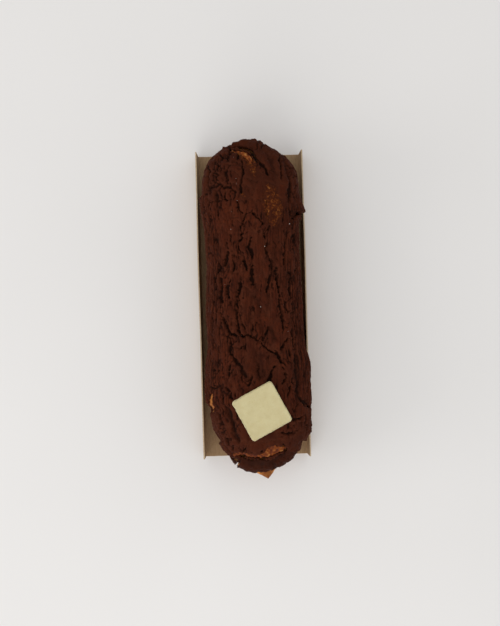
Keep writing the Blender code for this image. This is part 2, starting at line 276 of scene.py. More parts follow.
def wall_noise(place, normal, size, seed):
    """Smooth noise on an upright surface, laid on from the front and from the side and blended."""
    front = soft_noise(place[:, 0], place[:, 2], size, size, seed)
    side = soft_noise(place[:, 1], place[:, 2], size, size, seed + 100)
    flat = np.maximum(normal[:, 0] ** 2 + normal[:, 1] ** 2, 1e-6)
    return side + (front - side) * normal[:, 1] ** 2 / flat


# ---- Loaf form ----------------------------------------------------------------------------------

def edges_at(y):
    """Left and right edge of the outline at y, eased from one station to the next."""
    stations = OUTLINE[:, 0]
    y = np.clip(y, FRONT_CENTRE, BACK_CENTRE)
    near = np.clip(np.searchsorted(stations, y, side="right") - 1, 0, len(stations) - 2)
    part = (y - stations[near]) / (stations[near + 1] - stations[near])
    part = part * part * (3.0 - 2.0 * part)
    left = OUTLINE[near, 1] + (OUTLINE[near + 1, 1] - OUTLINE[near, 1]) * part
    right = OUTLINE[near, 2] + (OUTLINE[near + 1, 2] - OUTLINE[near, 2]) * part
    return left, right


def rounded(value, fullness):
    return np.sign(value) * np.abs(value) ** (2.0 / fullness)


def section_table():
    """Half sections by arc length, for fullnesses from the sides' to the ends'.

    For each the table holds how far out, how far up, how far down and at what angle the arc comes.
    """
    angle = np.concatenate((np.linspace(0, 1, 3000) ** 2 * math.pi / 2,
                            np.linspace(math.pi / 2, BASE_ANGLE, 1500)[1:]))
    arcs = np.linspace(0.0, SHEET_REACH, TABLE_STEPS)
    above = angle <= math.pi / 2
    rows = []
    for level in range(TABLE_LEVELS):
        fullness = TOP_FULLNESS + (END_TOP_FULLNESS - TOP_FULLNESS) * level / (TABLE_LEVELS - 1)
        out = np.where(above, rounded(np.sin(angle), fullness), np.sin(angle))
        up = np.where(above, rounded(np.maximum(np.cos(angle), 0.0), fullness), 0.0)
        down = np.where(above, 0.0, -np.cos(angle))
        height = (TOP_HEIGHT - EQUATOR_HEIGHT) * up - BELLY_DEPTH * down
        steps = np.hypot(np.diff(out * MEAN_HALF_WIDTH), np.diff(height))
        arc = np.concatenate(((0.0,), np.cumsum(steps)))
        rows.append([np.interp(arcs, arc, values) for values in (out, up, down, angle)])
    return np.array(rows)


SHEET_REACH = 56.0                     # arc from the ridge to past the flat underside
TABLE_STEPS = 1400
TABLE_LEVELS = 7
SECTIONS = section_table()


def section_at(arc, ahead):
    """How far out, up, down and at what angle a point lies, arc from the ridge."""
    level = np.clip(ahead, 0.0, 1.0) * (TABLE_LEVELS - 1)
    low = np.minimum(level.astype(int), TABLE_LEVELS - 2)
    step = np.clip(arc / SHEET_REACH, 0.0, 1.0) * (TABLE_STEPS - 1)
    near = np.minimum(step.astype(int), TABLE_STEPS - 2)
    s, t = level - low, step - near
    values = []
    for column in range(4):
        table = SECTIONS[:, column]
        first = table[low, near] * (1 - t) + table[low, near + 1] * t
        second = table[low + 1, near] * (1 - t) + table[low + 1, near + 1] * t
        values.append(first * (1 - s) + second * s)
    return values


def plan_at(p, q):
    """Spine point, plan offset to the widest line, arc from the ridge, and turn round the end."""
    spine_y = np.clip(p, FRONT_CENTRE, BACK_CENTRE)
    over = p - spine_y
    arc = np.hypot(q, over)
    turn = np.arctan2(over, np.where(arc < 1e-9, 1.0, q))
    back = over > 0
    fullness = np.where(back, BACK_FULLNESS, FRONT_FULLNESS)
    reach = np.where(back, BACK_REACH, FRONT_REACH)
    left, right = edges_at(spine_y)
    out_x = (right - left) / 2 * rounded(np.cos(turn), fullness)
    out_y = reach * rounded(np.sin(turn) * (over != 0), fullness)
    return (left + right) / 2, spine_y, out_x, out_y, arc, turn


def loaf_point(p, q, inset=0.0):
    """Points of the loaf, in millimetres, from their places on the sheet."""
    spine_x, spine_y, out_x, out_y, arc, _ = plan_at(p, q)
    length = np.hypot(out_x, out_y)
    out, up, down, _ = section_at(arc, np.abs(out_y) / length)
    shrink = (1.0 - inset / length) * out
    top = TOP_HEIGHT + TOP_SWELL * np.cos((spine_y - PLAQUE_PLACE[1]) / SWELL_LENGTH * math.tau)
    z = EQUATOR_HEIGHT + (top - EQUATOR_HEIGHT - inset) * up - BELLY_DEPTH * down
    return np.stack((spine_x + out_x * shrink, spine_y + out_y * shrink, z), axis=-1)


def loaf_normal(p, q, inset=0.0):
    step = 0.25
    along = loaf_point(p + step, q, inset) - loaf_point(p - step, q, inset)
    across = loaf_point(p, q + step, inset) - loaf_point(p, q - step, inset)
    normal = np.cross(across, along)
    return normal / np.maximum(np.linalg.norm(normal, axis=-1, keepdims=True), 1e-9)


def way_round(p, turn):
    """Where a point is round the eclair: 0 to 4 along the right side, back, left side and front."""
    part = np.clip((p - FRONT_CENTRE) / (BACK_CENTRE - FRONT_CENTRE), 0.0, 1.0)
    side = np.where(np.abs(turn) < math.pi / 2, part, 3.0 - part)
    ends = np.where(p > BACK_CENTRE, 1.0 + turn / math.pi, 4.0 + turn / math.pi)
    return np.where((p > BACK_CENTRE) | (p < FRONT_CENTRE), ends, side)


def edge_angle(way):
    """How far down the crust reaches, wavering round the eclair and short at the front."""
    waver = np.sin(way * 7.0) * 0.5 + np.sin(way * 17.0 + 1.3) * 0.35 + np.sin(way * 31.0) * 0.15
    front = bell(way, 3.55, 0.38)
    chip = np.maximum(bell(way, 2.985, 0.035), bell(way, BULGE_WAY, 0.07))
    angle = EDGE_ANGLE + EDGE_WANDER * waver * (1.0 - front)
    return angle + (FRONT_EDGE_ANGLE - EDGE_ANGLE) * np.maximum(front, chip)


def on_sheet(x, y):
    """Place on the sheet of a point of the upper half that is seen from above."""
    spine_y = min(max(y, FRONT_CENTRE), BACK_CENTRE)
    left, right = edges_at(spine_y)
    fullness, reach = (BACK_FULLNESS, BACK_REACH) if y > spine_y else (FRONT_FULLNESS, FRONT_REACH)
    side = (x - (left + right) / 2) / ((right - left) / 2)
    end = (y - spine_y) / reach
    out = min((abs(side) ** fullness + abs(end) ** fullness) ** (1 / fullness), 0.992)
    turn = math.atan2(math.copysign(abs(end) ** (fullness / 2), end),
                      math.copysign(abs(side) ** (fullness / 2), side))
    ahead = abs(end) * reach / max(math.hypot(side * (right - left) / 2, end * reach), 1e-9)
    level = ahead * (TABLE_LEVELS - 1)
    low = min(int(level), TABLE_LEVELS - 2)
    table = SECTIONS[low, 0] * (1 - level + low) + SECTIONS[low + 1, 0] * (level - low)
    widest = int(np.argmax(table))
    arc = np.interp(out, table[:widest], np.linspace(0, SHEET_REACH, TABLE_STEPS)[:widest])
    return spine_y + arc * math.sin(turn), arc * math.cos(turn)


# ---- Marks on the sheet -------------------------------------------------------------------------

FAR = 5.0                              # strokes further off than this don't matter


def stroke_field(p, q, stroke):
    """Distance outside a stroke, negative inside it."""
    field = np.full(p.shape, FAR)
    places = [(*on_sheet(x, y), width) for x, y, width in stroke]
    for (p1, q1, w1), (p2, q2, w2) in zip(places, places[1:]):
        near = ((p > min(p1, p2) - FAR) & (p < max(p1, p2) + FAR)
                & (q > min(q1, q2) - FAR) & (q < max(q1, q2) + FAR))
        dp, dq = p[near] - p1, q[near] - q1
        length = (p2 - p1) ** 2 + (q2 - q1) ** 2
        part = np.clip((dp * (p2 - p1) + dq * (q2 - q1)) / length, 0.0, 1.0)
        away = np.hypot(dp - part * (p2 - p1), dq - part * (q2 - q1)) - w1 - part * (w2 - w1)
        field[near] = np.minimum(field[near], away)
    return field


def strokes_field(p, q, strokes):
    field = np.full(p.shape, FAR)
    for stroke in strokes:
        field = np.minimum(field, stroke_field(p, q, stroke))
    return field


def crackle(p, q, width, stations, seed):
    """A network of cracks: distance to the nearest one, how far it runs lengthwise, and plate values.

    width is a plate's size across; stations counts plates along the eclair, and is a function of p.
    """
    rng = np.random.default_rng(seed)
    cells = 128
    jitter = rng.uniform(0.08, 0.92, (cells, cells, 2))
    traits = rng.uniform(-1.0, 1.0, (cells, cells, 3))
    u, v = q / width + 40.0, stations(p) + 40.0
    density = (stations(p + 0.5) - stations(p - 0.5))
    column, row = np.floor(u).astype(int), np.floor(v).astype(int)
    best = np.full(p.shape, 1e9)
    nearest = np.zeros(p.shape + (4,))
    for i in range(-2, 3):
        for j in range(-2, 3):
            a, b = column + i, row + j
            su, sv = a + jitter[a % cells, b % cells, 0], b + jitter[a % cells, b % cells, 1]
            away = (u - su) ** 2 + (v - sv) ** 2
            closer = away < best
            best = np.where(closer, away, best)
            nearest[closer] = np.stack((su, sv, a, b), axis=-1)[closer]
    border = np.full(p.shape, 1e9)
    lengthwise = np.zeros(p.shape)
    su, sv, home_a, home_b = (nearest[..., k] for k in range(4))
    for i in range(-3, 4):
        for j in range(-3, 4):
            a, b = column + i, row + j
            ou, ov = a + jitter[a % cells, b % cells, 0], b + jitter[a % cells, b % cells, 1]
            du, dv = ou - su, ov - sv
            apart = np.hypot(du, dv)
            other = apart > 1e-6
            apart = np.where(other, apart, 1.0)
            nu, nv = du / apart, dv / apart
            gap = ((su + ou) / 2 - u) * nu + ((sv + ov) / 2 - v) * nv
            slope = np.hypot(nu / width, nv * density)
            gap = np.where(other, gap / slope, 1e9)
            closer = gap < border
            border = np.where(closer, gap, border)
            side = np.abs(nu / width) / slope
            lengthwise = np.where(closer, side, lengthwise)
    trait = traits[home_a.astype(int) % cells, home_b.astype(int) % cells]
    return border, lengthwise, trait, (u - su) * width, (v - sv) / density


def plate_stations(middle, end):
    """Counts plates along the eclair, each middle long between the ends and end long round them."""
    places = np.arange(-130.0, 131.0)
    blend = smooth_step(np.abs(places + 2.0), 32.0, 52.0)
    counts = np.cumsum(1.0 / (middle + (end - middle) * blend))
    return lambda p: np.interp(p, places, counts)


# ---- Shell meshes -------------------------------------------------------------------------------

def sheet_grid(step, reach):
    """Square grid over the sheet, out to reach from the ridge."""
    p = np.arange(FRONT_CENTRE - reach - step, BACK_CENTRE + reach + 2 * step, step)
    q = np.arange(-reach - step, reach + 2 * step, step)
    return np.meshgrid(p, q, indexing="ij")


def kept_cells(field):
    """Grid cells inside the field's zero line, with corner-to-corner touches filled in."""
    middle = (field[:-1, :-1] + field[1:, :-1] + field[:-1, 1:] + field[1:, 1:]) / 4
    kept = middle < 0.0
    for _ in range(3):
        one, two = kept[:-1, :-1], kept[1:, 1:]
        three, four = kept[1:, :-1], kept[:-1, 1:]
        kept[1:, :-1] |= one & two & ~three & ~four
        kept[:-1, :-1] |= kept[1:, :-1] & kept[:-1, 1:] & ~kept[:-1, :-1] & ~kept[1:, 1:]
    return kept


def trimmed(p, q, kept, field_at):
    """The grid with its rim slid onto the field's zero line."""
    padded = np.pad(kept, 1)
    count = (padded[:-1, :-1].astype(int) + padded[1:, :-1] + padded[:-1, 1:] + padded[1:, 1:])
    rim = (count > 0) & (count < 4)
    step = p[1, 0] - p[0, 0]
    rp, rq = p[rim], q[rim]
    for _ in range(2):
        reach = step * 0.4
        value = field_at(rp, rq)
        dp = (field_at(rp + reach, rq) - field_at(rp - reach, rq)) / (2 * reach)
        dq = (field_at(rp, rq + reach) - field_at(rp, rq - reach)) / (2 * reach)
        slope = np.maximum(dp ** 2 + dq ** 2, 0.3)
        move = np.clip(value / np.sqrt(slope), -step * 0.45, step * 0.45) / np.sqrt(slope)
        rp, rq = rp - move * dp, rq - move * dq
    p, q = p.copy(), q.copy()
    limit = step * 0.48
    p[rim] += np.clip(rp - p[rim], -limit, limit)
    q[rim] += np.clip(rq - q[rim], -limit, limit)
    return p, q


def shell_faces(kept, numbers, count):
    """Quads of the outside, the inside and the rim between them, for the kept cells."""
    i, j = np.nonzero(kept)
    outside = np.stack((numbers[i, j], numbers[i, j + 1], numbers[i + 1, j + 1], numbers[i + 1, j]), axis=1)
    inside = outside[:, ::-1] + count
    walls = []
    padded = np.pad(kept, 1)
    for di, dj, first, second in ((0, -1, (0, 0), (1, 0)), (0, 1, (1, 1), (0, 1)),
                                  (-1, 0, (0, 1), (0, 0)), (1, 0, (1, 0), (1, 1))):
        i, j = np.nonzero(kept & ~padded[1 + di:1 + di + kept.shape[0], 1 + dj:1 + dj + kept.shape[1]])
        a, b = numbers[i + first[0], j + first[1]], numbers[i + second[0], j + second[1]]
        walls.append(np.stack((a, b, b + count, a + count), axis=1))
    return np.concatenate((outside, inside, *walls))


def mesh_object(name, points, faces, attributes=None):
    """A named object from points in millimetres."""
    mesh = bpy.data.meshes.new(name)
    mesh.from_pydata((points * MM).tolist(), [], faces.tolist() if hasattr(faces, "tolist") else faces)
    for key, values in (attributes or {}).items():
        layer = mesh.attributes.new(key, "FLOAT", "POINT")
        layer.data.foreach_set("value", np.asarray(values, dtype=np.float32))
    mesh.validate()
    mesh.shade_smooth()
    thing = bpy.data.objects.new(name, mesh)
    bpy.context.scene.collection.objects.link(thing)
    return thing


def thin_out(thing, triangles):
    """Merge the flatter faces until the mesh has that many triangles."""
    total = sum(len(face.vertices) - 2 for face in thing.data.polygons)
    if total <= triangles:
        return
    modifier = thing.modifiers.new("thin out", "DECIMATE")
    modifier.ratio = triangles / total
    modifier.use_collapse_triangulate = True
    bake_modifiers(thing)


def bake_modifiers(thing):
    graph = bpy.context.evaluated_depsgraph_get()
    mesh = bpy.data.meshes.new_from_object(thing.evaluated_get(graph), preserve_all_data_layers=True, depsgraph=graph)
    thing.modifiers.clear()
    old = thing.data
    thing.data = mesh
    mesh.name = thing.name
    bpy.data.meshes.remove(old)


# ---- Crust --------------------------------------------------------------------------------------

def crust_edge_field(p, q):
    """Distance past the crust's lower edge, ragged as broken cookie is."""
    _, _, out_x, out_y, arc, turn = plan_at(p, q)
    angle = section_at(arc, np.abs(out_y) / np.hypot(out_x, out_y))[3]
    ragged = soft_noise(p, q, 3.0, 3.0, 5) * 0.7 + soft_noise(p, q, 1.1, 1.1, 6) * 0.35
    return (angle - edge_angle(way_round(p, turn))) * 20.5 + ragged


def opening_field(p, q):
    """Distance outside the gaps that the choux fills, negative in them."""
    ragged = soft_noise(p, q, 1.6, 1.6, 7) * 0.25 + soft_noise(p, q, 0.7, 0.7, 8) * 0.12
    return strokes_field(p, q, OPENINGS) + ragged


def slot_field(p, q):
    wander_p = soft_noise(p, q, 2.2, 2.2, 10) * 0.35 + soft_noise(p, q, 0.8, 0.8, 12) * 0.25
    wander_q = soft_noise(p, q, 2.2, 2.2, 11) * 0.35 + soft_noise(p, q, 0.8, 0.8, 13) * 0.25
    return strokes_field(p + wander_p, q + wander_q, SLOTS) + soft_noise(p, q, 1.2, 1.2, 9) * 0.2


def crust_field(p, q):
    """Negative where there is crust."""
    return np.maximum(crust_edge_field(p, q), -np.minimum(opening_field(p, q), slot_field(p, q)))


def stand_out(angle, way):
    """How far the loaf stands out from the plain form, most at its widest line."""
    depth = np.interp(way, STAND_OUT[:, 0], STAND_OUT[:, 1])
    return depth * smooth_step(angle, math.radians(48), math.radians(72))


def flare_height(p, q):
    """How far the broken plates at the sides stand out."""
    height = np.zeros(p.shape)
    for x, y, reach, length, lift, way in FLAKES:
        end_p, end_q = on_sheet(x, y)
        along = (p - end_p) * way
        inside = smooth_step(along, -0.25, 0.1) * (1.0 - np.clip(along / length, 0.0, 1.0)) ** 1.5
        height = np.maximum(height, lift * inside * (1.0 - smooth_step(np.abs(q - end_q), reach * 0.3, reach)))
    return height


def spread(p, q, strokes, inner, outer):
    """1 on the strokes, falling to 0 between inner and outer past them."""
    return 1.0 - smooth_step(strokes_field(p, q, strokes), inner, outer)


def crust_relief(p, q, sizes):
    """Height of the crust's outside over the plain loaf, and what its finish follows."""
    plate_width, plate_length = sizes.plate_width / MM, sizes.plate_length / MM
    # Broken plates lie flatter round the ends' outline
    from_ridge = np.hypot(q, p - np.clip(p, FRONT_CENTRE, BACK_CENTRE))
    # Cracks wander in slow bends, and crumble in small ones
    crumble_p = soft_noise(p, q, 1.3, 1.1, 25) * 0.34 + soft_noise(p, q, 0.6, 0.6, 19) * 0.16
    crumble_q = soft_noise(p, q, 1.3, 1.1, 26) * 0.3 + soft_noise(p, q, 0.6, 0.6, 20) * 0.16
    bend_p = soft_noise(p, q, 9.0, 7.0, 21) * 1.8 + soft_noise(p, q, 2.6, 2.2, 22) * 0.55 + crumble_p
    bend_q = soft_noise(p, q, 9.0, 7.0, 23) * 1.5 + soft_noise(p, q, 2.6, 2.2, 24) * 0.5 + crumble_q
    bite = soft_noise(p, q, 0.7, 0.9, 17) * 0.26 + soft_noise(p, q, 2.4, 1.2, 18) * 0.22

    ends = smooth_step(np.abs(p + 2.0), 36.0, 52.0)
    side = smooth_step(np.abs(q), 12.0, 19.0) * (1.0 - ends)
    calm = spread(p, q, CALM_PLACES, -1.0, 2.0)
    crazed = spread(p, q, CRAZED_PLACES, -1.5, 2.0) * (1.0 - calm)

    # Cracks given one by one, where the eye goes
    small_p = soft_noise(p, q, 2.4, 2.0, 27) * 0.35 + crumble_p
    small_q = soft_noise(p, q, 2.4, 2.0, 28) * 0.35 + crumble_q
    named = strokes_field(p + small_p, q + small_q, FISSURES) + bite + soft_noise(p, q, 3.4, 2.0, 29) * 0.2 + 0.04
    covered = 1.0 - smooth_step(named, 1.2, 3.6)

    # Main network, long plates in the middle and rounder ones at the ends
    stations = plate_stations(plate_length, plate_width * 0.95)
    border, lengthwise, trait, off_q, off_p = crackle(p + bend_p, q + bend_q, plate_width, stations, 31)
    open_here = smooth_step(soft_noise(p, q, 6.5, 3.2, 32), -0.4, 0.4)
    long_enough = 0.2 + 0.8 * smooth_step(lengthwise, 0.4, 0.85)
    gape = sizes.crack_width / MM / 2 * open_here * np.maximum(long_enough, ends * 0.7)
    gape *= (1.0 - 0.75 * covered) * (1.0 - 0.8 * calm) * (1.0 - 0.3 * side)
    main = border - gape + bite

    # Finer network inside the plates
    fine_stations = plate_stations(plate_length * 0.42, plate_width * 0.42)
    fine_border, fine_lengthwise, fine_trait, _, _ = crackle(
        p + bend_p * 0.9, q + bend_q * 0.9, plate_width * 0.42, fine_stations, 41)
    fine_open = smooth_step(soft_noise(p, q, 3.0, 2.2, 42), -0.1 - 0.3 * crazed, 0.5 - 0.3 * crazed)
    fine_gape = 0.26 * fine_open * (0.25 + 0.75 * np.maximum(smooth_step(fine_lengthwise, 0.4, 0.85), crazed))
    fine_gape = (fine_gape + 0.1 * crazed * fine_open) * (1.0 - 0.65 * calm)
    fine = fine_border - fine_gape + bite * 0.6

    # Stretch marks: fine lengthwise tears, densest on the sides
    mark_stations = plate_stations(11.0, 3.5)
    mark_border, mark_lengthwise, _, _, _ = crackle(p + bend_p * 0.5, q + bend_q * 0.25, 1.25, mark_stations, 43)
    mark_open = smooth_step(soft_noise(p, q, 5.0, 1.8, 44), -0.35 - 0.5 * side, 0.45 - 0.5 * side)
    mark_open *= smooth_step(mark_lengthwise, 0.6, 0.95) * (1.0 - 0.6 * ends) * (1.0 - 0.4 * calm)
    mark = np.exp(-(np.maximum(mark_border + bite * 0.25, 0.0) / (0.2 + 0.06 * side)) ** 2) * mark_open

    def cut(field, width):
        """Ragged V cut: 1 at the bottom of a crack, 0 outside it."""
        return np.clip((0.12 - field) / (width + 0.12), 0.0, 1.0) ** 0.8

    main_cut = cut(main, 0.5) * smooth_step(gape, 0.08, 0.3)
    named_cut = cut(named, 0.5)
    fine_cut = cut(fine, 0.24) * smooth_step(fine_gape, 0.05, 0.18)
    depth = np.maximum(main_cut, named_cut)
    hollow = spread(p + small_p * 2, q + small_q * 2, HOLLOWS, -0.8, 1.3)

    # Plates: each a little proud, tilted and pillowed, with crumbling sides
    nearest = np.maximum(np.minimum(border + 0.4 * covered + 0.8 * calm, named), 0.0)
    pillow = 1.0 - np.exp(-nearest / 0.8)
    rise = smooth_step(border, 0.0, 0.9 + 0.8 * calm) * (1.0 - 0.35 * calm)
    tilt = (trait[..., 1] * off_q * 0.07 + trait[..., 2] * off_p * 0.02) * rise
    height = 0.4 * pillow + 0.17 * (trait[..., 0] + 1.0) * rise + tilt + 0.15 * calm
    height += (0.1 * (1.0 - np.exp(-np.maximum(fine_border, 0.0) / 0.45)) + 0.07 * fine_trait[..., 0]) * (1 - 0.7 * calm)
    height += crazed * 0.12 * fine_trait[..., 1]
    height += soft_noise(p, q, 13.0, 9.0, 51) * 0.3 + soft_noise(p, q, 4.5, 2.0, 52) * 0.18
    streaks = soft_noise(p, q, 3.2, 0.75, 53) * 0.1 + soft_noise(p, q, 1.6, 0.5, 55) * 0.06
    crumbs = soft_noise(p, q, 0.9, 0.8, 54) * 0.08 + soft_noise(p, q, 0.5, 0.5, 56) * 0.06
    pits = smooth_step(soft_noise(p, q, 0.85, 0.75, 57) + 0.35 * np.exp(-nearest / 1.2) + 0.15 * crazed, 0.5, 0.85)
    pits = pits * 0.24 * (1.0 - 0.5 * calm)
    # Plates that hold together still show where they meet
    seam = np.exp(-(np.maximum(border + bite * 0.4, 0.0) / 0.35) ** 2) * calm
    fine_seam = np.exp(-(np.maximum(fine_border + bite * 0.3, 0.0) / 0.2) ** 2) * np.maximum(calm, ends) * fine_open
    height += streaks + crumbs - pits - 0.75 - 0.22 * seam - 0.12 * fine_seam
    flatter = 1.0 - 0.55 * ends * smooth_step(from_ridge, 21.0, 28.0)
    height = (height + 0.55) * flatter - 0.55
    height -= sizes.crack_depth / MM * depth * flatter
    height -= (0.5 * fine_cut + (0.32 + 0.25 * side) * mark + 0.6 * hollow) * (1.0 - depth)

    # Lifted plates, the sunken lip in front and the thin places
    for stroke, lift in RAISED:
        height += lift * (1.0 - smooth_step(stroke_field(p, q, stroke), -0.6, 0.7))
    height = height + flare_height(p, q)
    lip = lip_part(p, q)
    height += lip * (soft_noise(p, q, 1.4, 1.8, 62) * 0.3 - 1.1)
    thin = spread(p, q, THIN_PLACES, -1.2, 4.2)
    height -= 0.25 * thin
    # The plates that the plaque was pressed onto are level, and reach up to it
    place = loaf_point(p, q)
    away = np.hypot(place[..., 0] - PLAQUE_PLACE[0], place[..., 1] - PLAQUE_PLACE[1])
    pressed = 1.0 - smooth_step(away, 9.5, 13.5)
    height = height * (1.0 - pressed * 0.6) + pressed * 0.62
    # Painted shade: the cracks, pits, stretch marks and hollows are darkened in colour where shade falls in them; the
    # seams between plates are darker too
    crack_shade = np.maximum(np.maximum(depth, fine_cut * 0.75), np.maximum(mark * (0.5 + 0.4 * side), hollow * 0.42))
    crack_shade = np.maximum(crack_shade, np.maximum(pits * 1.4, np.maximum(0.24 * seam, 0.26 * fine_seam)))
    # Painted highlight along the raised edges of the cracks
    rim = np.exp(-np.maximum(np.minimum(named, main), 0.0) / 0.5) * (1.0 - crack_shade)
    stretch = 1.0 - ends
    finish = {"crack_shade": crack_shade, "rim": rim, "thin": thin, "lip": lip, "plate": trait[..., 0], "stretch": stretch}
    return np.clip(height, 0.3 - CRUST_THICKNESS, 1.9), finish


def lip_part(p, q):
    """1 on the strip of crust in front of the bare crack, 0 elsewhere."""
    x = (-12.0, -8.2, -4.0, 0.8, 6.0, 10.0, 13.0)
    y = (-65.0, -65.4, -66.7, -67.2, -66.8, -65.0, -63.4)
    place = loaf_point(p, q)
    beyond = np.interp(place[..., 0], x, y) - place[..., 1]
    return smooth_step(beyond, -0.2, 0.8) * (p < FRONT_CENTRE)


def make_crust(sizes):
    reach = 46.0
    p, q = sheet_grid(sizes.crust_grid / MM, reach)
    kept = kept_cells(crust_field(p, q))
    p, q = trimmed(p, q, kept, crust_field)
    used = np.zeros(p.shape, dtype=bool)
    for i in (0, 1):
        for j in (0, 1):
            used[i:i + kept.shape[0], j:j + kept.shape[1]] |= kept
    numbers = np.full(p.shape, -1)
    numbers[used] = np.arange(used.sum())
    up, uq = p[used], q[used]
    height, finish = crust_relief(up, uq, sizes)
    edge = crust_field(up, uq)
    # Broken edges thin out a little and round over
    height -= 0.35 * (1.0 - smooth_step(-edge, 0.0, 0.7))
    normal = loaf_normal(up, uq)
    _, _, out_x, out_y, arc, turn = plan_at(up, uq)
    angle = section_at(arc, np.abs(out_y) / np.hypot(out_x, out_y))[3]
    out = stand_out(angle, way_round(up, turn))
    outside = loaf_point(up, uq) + normal * (height + out)[:, None]
    inside = loaf_point(up, uq) - normal * (CRUST_THICKNESS - out)[:, None]
    count = len(up)
    faces = shell_faces(kept, numbers, count)
    attributes = {key: np.concatenate((values, values * 0.0)) for key, values in finish.items()}
    thing = mesh_object("craquelin", np.concatenate((outside, inside)), faces, attributes)
    thin_out(thing, sizes.crust_triangles)
    return thing


# ---- Choux --------------------------------------------------------------------------------------

TIP_WAY = 3.522                        # where round the eclair the tip is, and its half width there
TIP_HALF = 0.125
BULGE_WAY = 1.255                      # where the choux swells out from under the crust behind

def make_choux(sizes):
    step = sizes.choux_grid / MM
    p, q = sheet_grid(step, SHEET_REACH - 2.0)

    def field_at(p, q):
        _, _, out_x, out_y, arc, _ = plan_at(p, q)
        angle = section_at(arc, np.abs(out_y) / np.hypot(out_x, out_y))[3]
        return (angle - BASE_ANGLE) * 20.5 + 0.25

    kept = kept_cells(field_at(p, q))
    p, q = trimmed(p, q, kept, field_at)
    used = np.zeros(p.shape, dtype=bool)
    for i in (0, 1):
        for j in (0, 1):
            used[i:i + kept.shape[0], j:j + kept.shape[1]] |= kept
    numbers = np.full(p.shape, -1)
    numbers[used] = np.arange(used.sum())
    up, uq = p[used], q[used]
    inset = CRUST_THICKNESS + GAP
    _, _, out_x, out_y, arc, turn = plan_at(up, uq)
    angle = section_at(arc, np.abs(out_y) / np.hypot(out_x, out_y))[3]
    way = way_round(up, turn)
    bare = smooth_step(angle - edge_angle(way), -0.06, 0.02)
    opening = 1.0 - smooth_step(opening_field(up, uq), -0.25, 0.3)
    # Blistered skin: slow lumps, wrinkles running round, small pores
    point = loaf_point(up, uq, inset)
    normal = loaf_normal(up, uq, inset)
    lumps = wall_noise(point, normal, 7.0, 71) * 0.45 + wall_noise(point, normal, 2.6, 72) * 0.2
    threads = wall_noise(point, normal, 1.2, 73) * 0.1 + soft_noise(up, uq, 0.7, 0.7, 74) * 0.06
    pores = smooth_step(wall_noise(point, normal, 1.3, 75), 0.4, 0.7) * 0.22
    relief = (lumps + threads - pores) * np.maximum(bare, 0.5)
    slot = 1.0 - smooth_step(slot_field(up, uq), 0.3, 1.2)
    aside = smooth_step(np.abs(uq), 15.0, 20.0)
    lift = opening * (1.5 - 0.7 * aside)
    # Torn threads of dough where it burst
    torn = soft_noise(up, uq, 0.9, 0.9, 77) * 0.3 + soft_noise(up, uq, 2.2, 1.3, 78) * 0.22
    under = 1.0 - smooth_step(angle, math.radians(105), math.radians(135))
    bulge = bell(way, BULGE_WAY, 0.05) * bell(angle, math.radians(107), math.radians(8))
    height = relief + lift + torn * opening - 1.3 * slot + stand_out(angle, way) * under + 4.6 * bulge
    # The tip squeezed out under the crust in front, a thin three-cornered flap
    across = np.abs(way - TIP_WAY) / TIP_HALF
    tip = np.clip(1.0 - across, 0.0, 1.0) * bell(angle, math.radians(104), math.radians(9))
    point = point + normal * height[:, None]
    point += np.array((1.2, -5.6, 0.6)) * tip[:, None]
    base = 0.8
    point[:, 2] = np.maximum(point[:, 2], base)
    rim = rim_loop(kept, numbers)
    i, j = np.nonzero(kept)
    quads = np.stack((numbers[i, j], numbers[i, j + 1], numbers[i + 1, j + 1], numbers[i + 1, j]), axis=1)
    faces = quads.tolist() + [rim]
    toast = np.clip(0.5 + 0.5 * soft_noise(up, uq, 5.0, 5.0, 76) + lumps, 0.0, 1.0)
    # The tip is palest along its two thin edges
    tip_toast = 0.9 - 0.9 * smooth_step(across, 0.15, 0.6)
    toast = toast + (tip_toast - toast) * smooth_step(tip, 0.02, 0.12)
    toast = toast * (1.0 - smooth_step(bulge, 0.1, 0.6)) * (1.0 - opening * aside)
    attributes = {
        "toast": np.clip(toast, 0.0, 1.0),
        "opening": opening * (1.0 - 0.45 * aside),
        # Painted shade on the choux down in the slots
        "slot": slot * (1.0 - smooth_step(opening, 0.6, 1.0)),
        "torn": 0.5 + torn,
    }
    thing = mesh_object("choux", point, faces, attributes)
    thin_out(thing, sizes.choux_triangles)
    return thing


def rim_loop(kept, numbers):
    """The one closed line of rim vertices, in the order that makes the underside face down."""
    after = {}
    padded = np.pad(kept, 1)
    for di, dj, first, second in ((0, -1, (0, 0), (1, 0)), (0, 1, (1, 1), (0, 1)),
                                  (-1, 0, (0, 1), (0, 0)), (1, 0, (1, 0), (1, 1))):
        i, j = np.nonzero(kept & ~padded[1 + di:1 + di + kept.shape[0], 1 + dj:1 + dj + kept.shape[1]])
        starts, ends = numbers[i + first[0], j + first[1]], numbers[i + second[0], j + second[1]]
        after.update(zip(starts.tolist(), ends.tolist()))
    start = next(iter(after))
    loop = [start]
    while after[loop[-1]] != start:
        loop.append(after[loop[-1]])
    return loop


# ---- Card tray ----------------------------------------------------------------------------------

TRAY_LENGTH = 135.0
TRAY_WIDTH = 46.3
WALL_HEIGHT = 12.0
WALL_SPLAY = 0.5
CARD_THICKNESS = 0.5
FOLD_RADIUS = 0.9


def tray_section():
    """Points across the card's outside, from the left wall's top to the right one's, and normals."""
    lean = math.atan2(WALL_SPLAY, WALL_HEIGHT)
    centre = TRAY_WIDTH / 2 - FOLD_RADIUS
    half = []
    for x in np.linspace(0.0, centre, 14)[:-1]:
        half.append((x, 0.0, 0.0, -1.0))
    for turn in np.linspace(0.0, math.pi / 2 - lean, 7):
        half.append((centre + FOLD_RADIUS * math.sin(turn), FOLD_RADIUS * (1 - math.cos(turn)),
                     math.sin(turn), -math.cos(turn)))
    x, z = half[-1][:2]
    for part in np.linspace(0.0, 1.0, 8)[1:]:
        rise = (WALL_HEIGHT - z) * part
        half.append((x + rise * math.tan(lean), z + rise, math.cos(lean), -math.sin(lean)))
    left = [(-x, z, -nx, nz) for x, z, nx, nz in half[:0:-1]]
    return np.array(left + half)


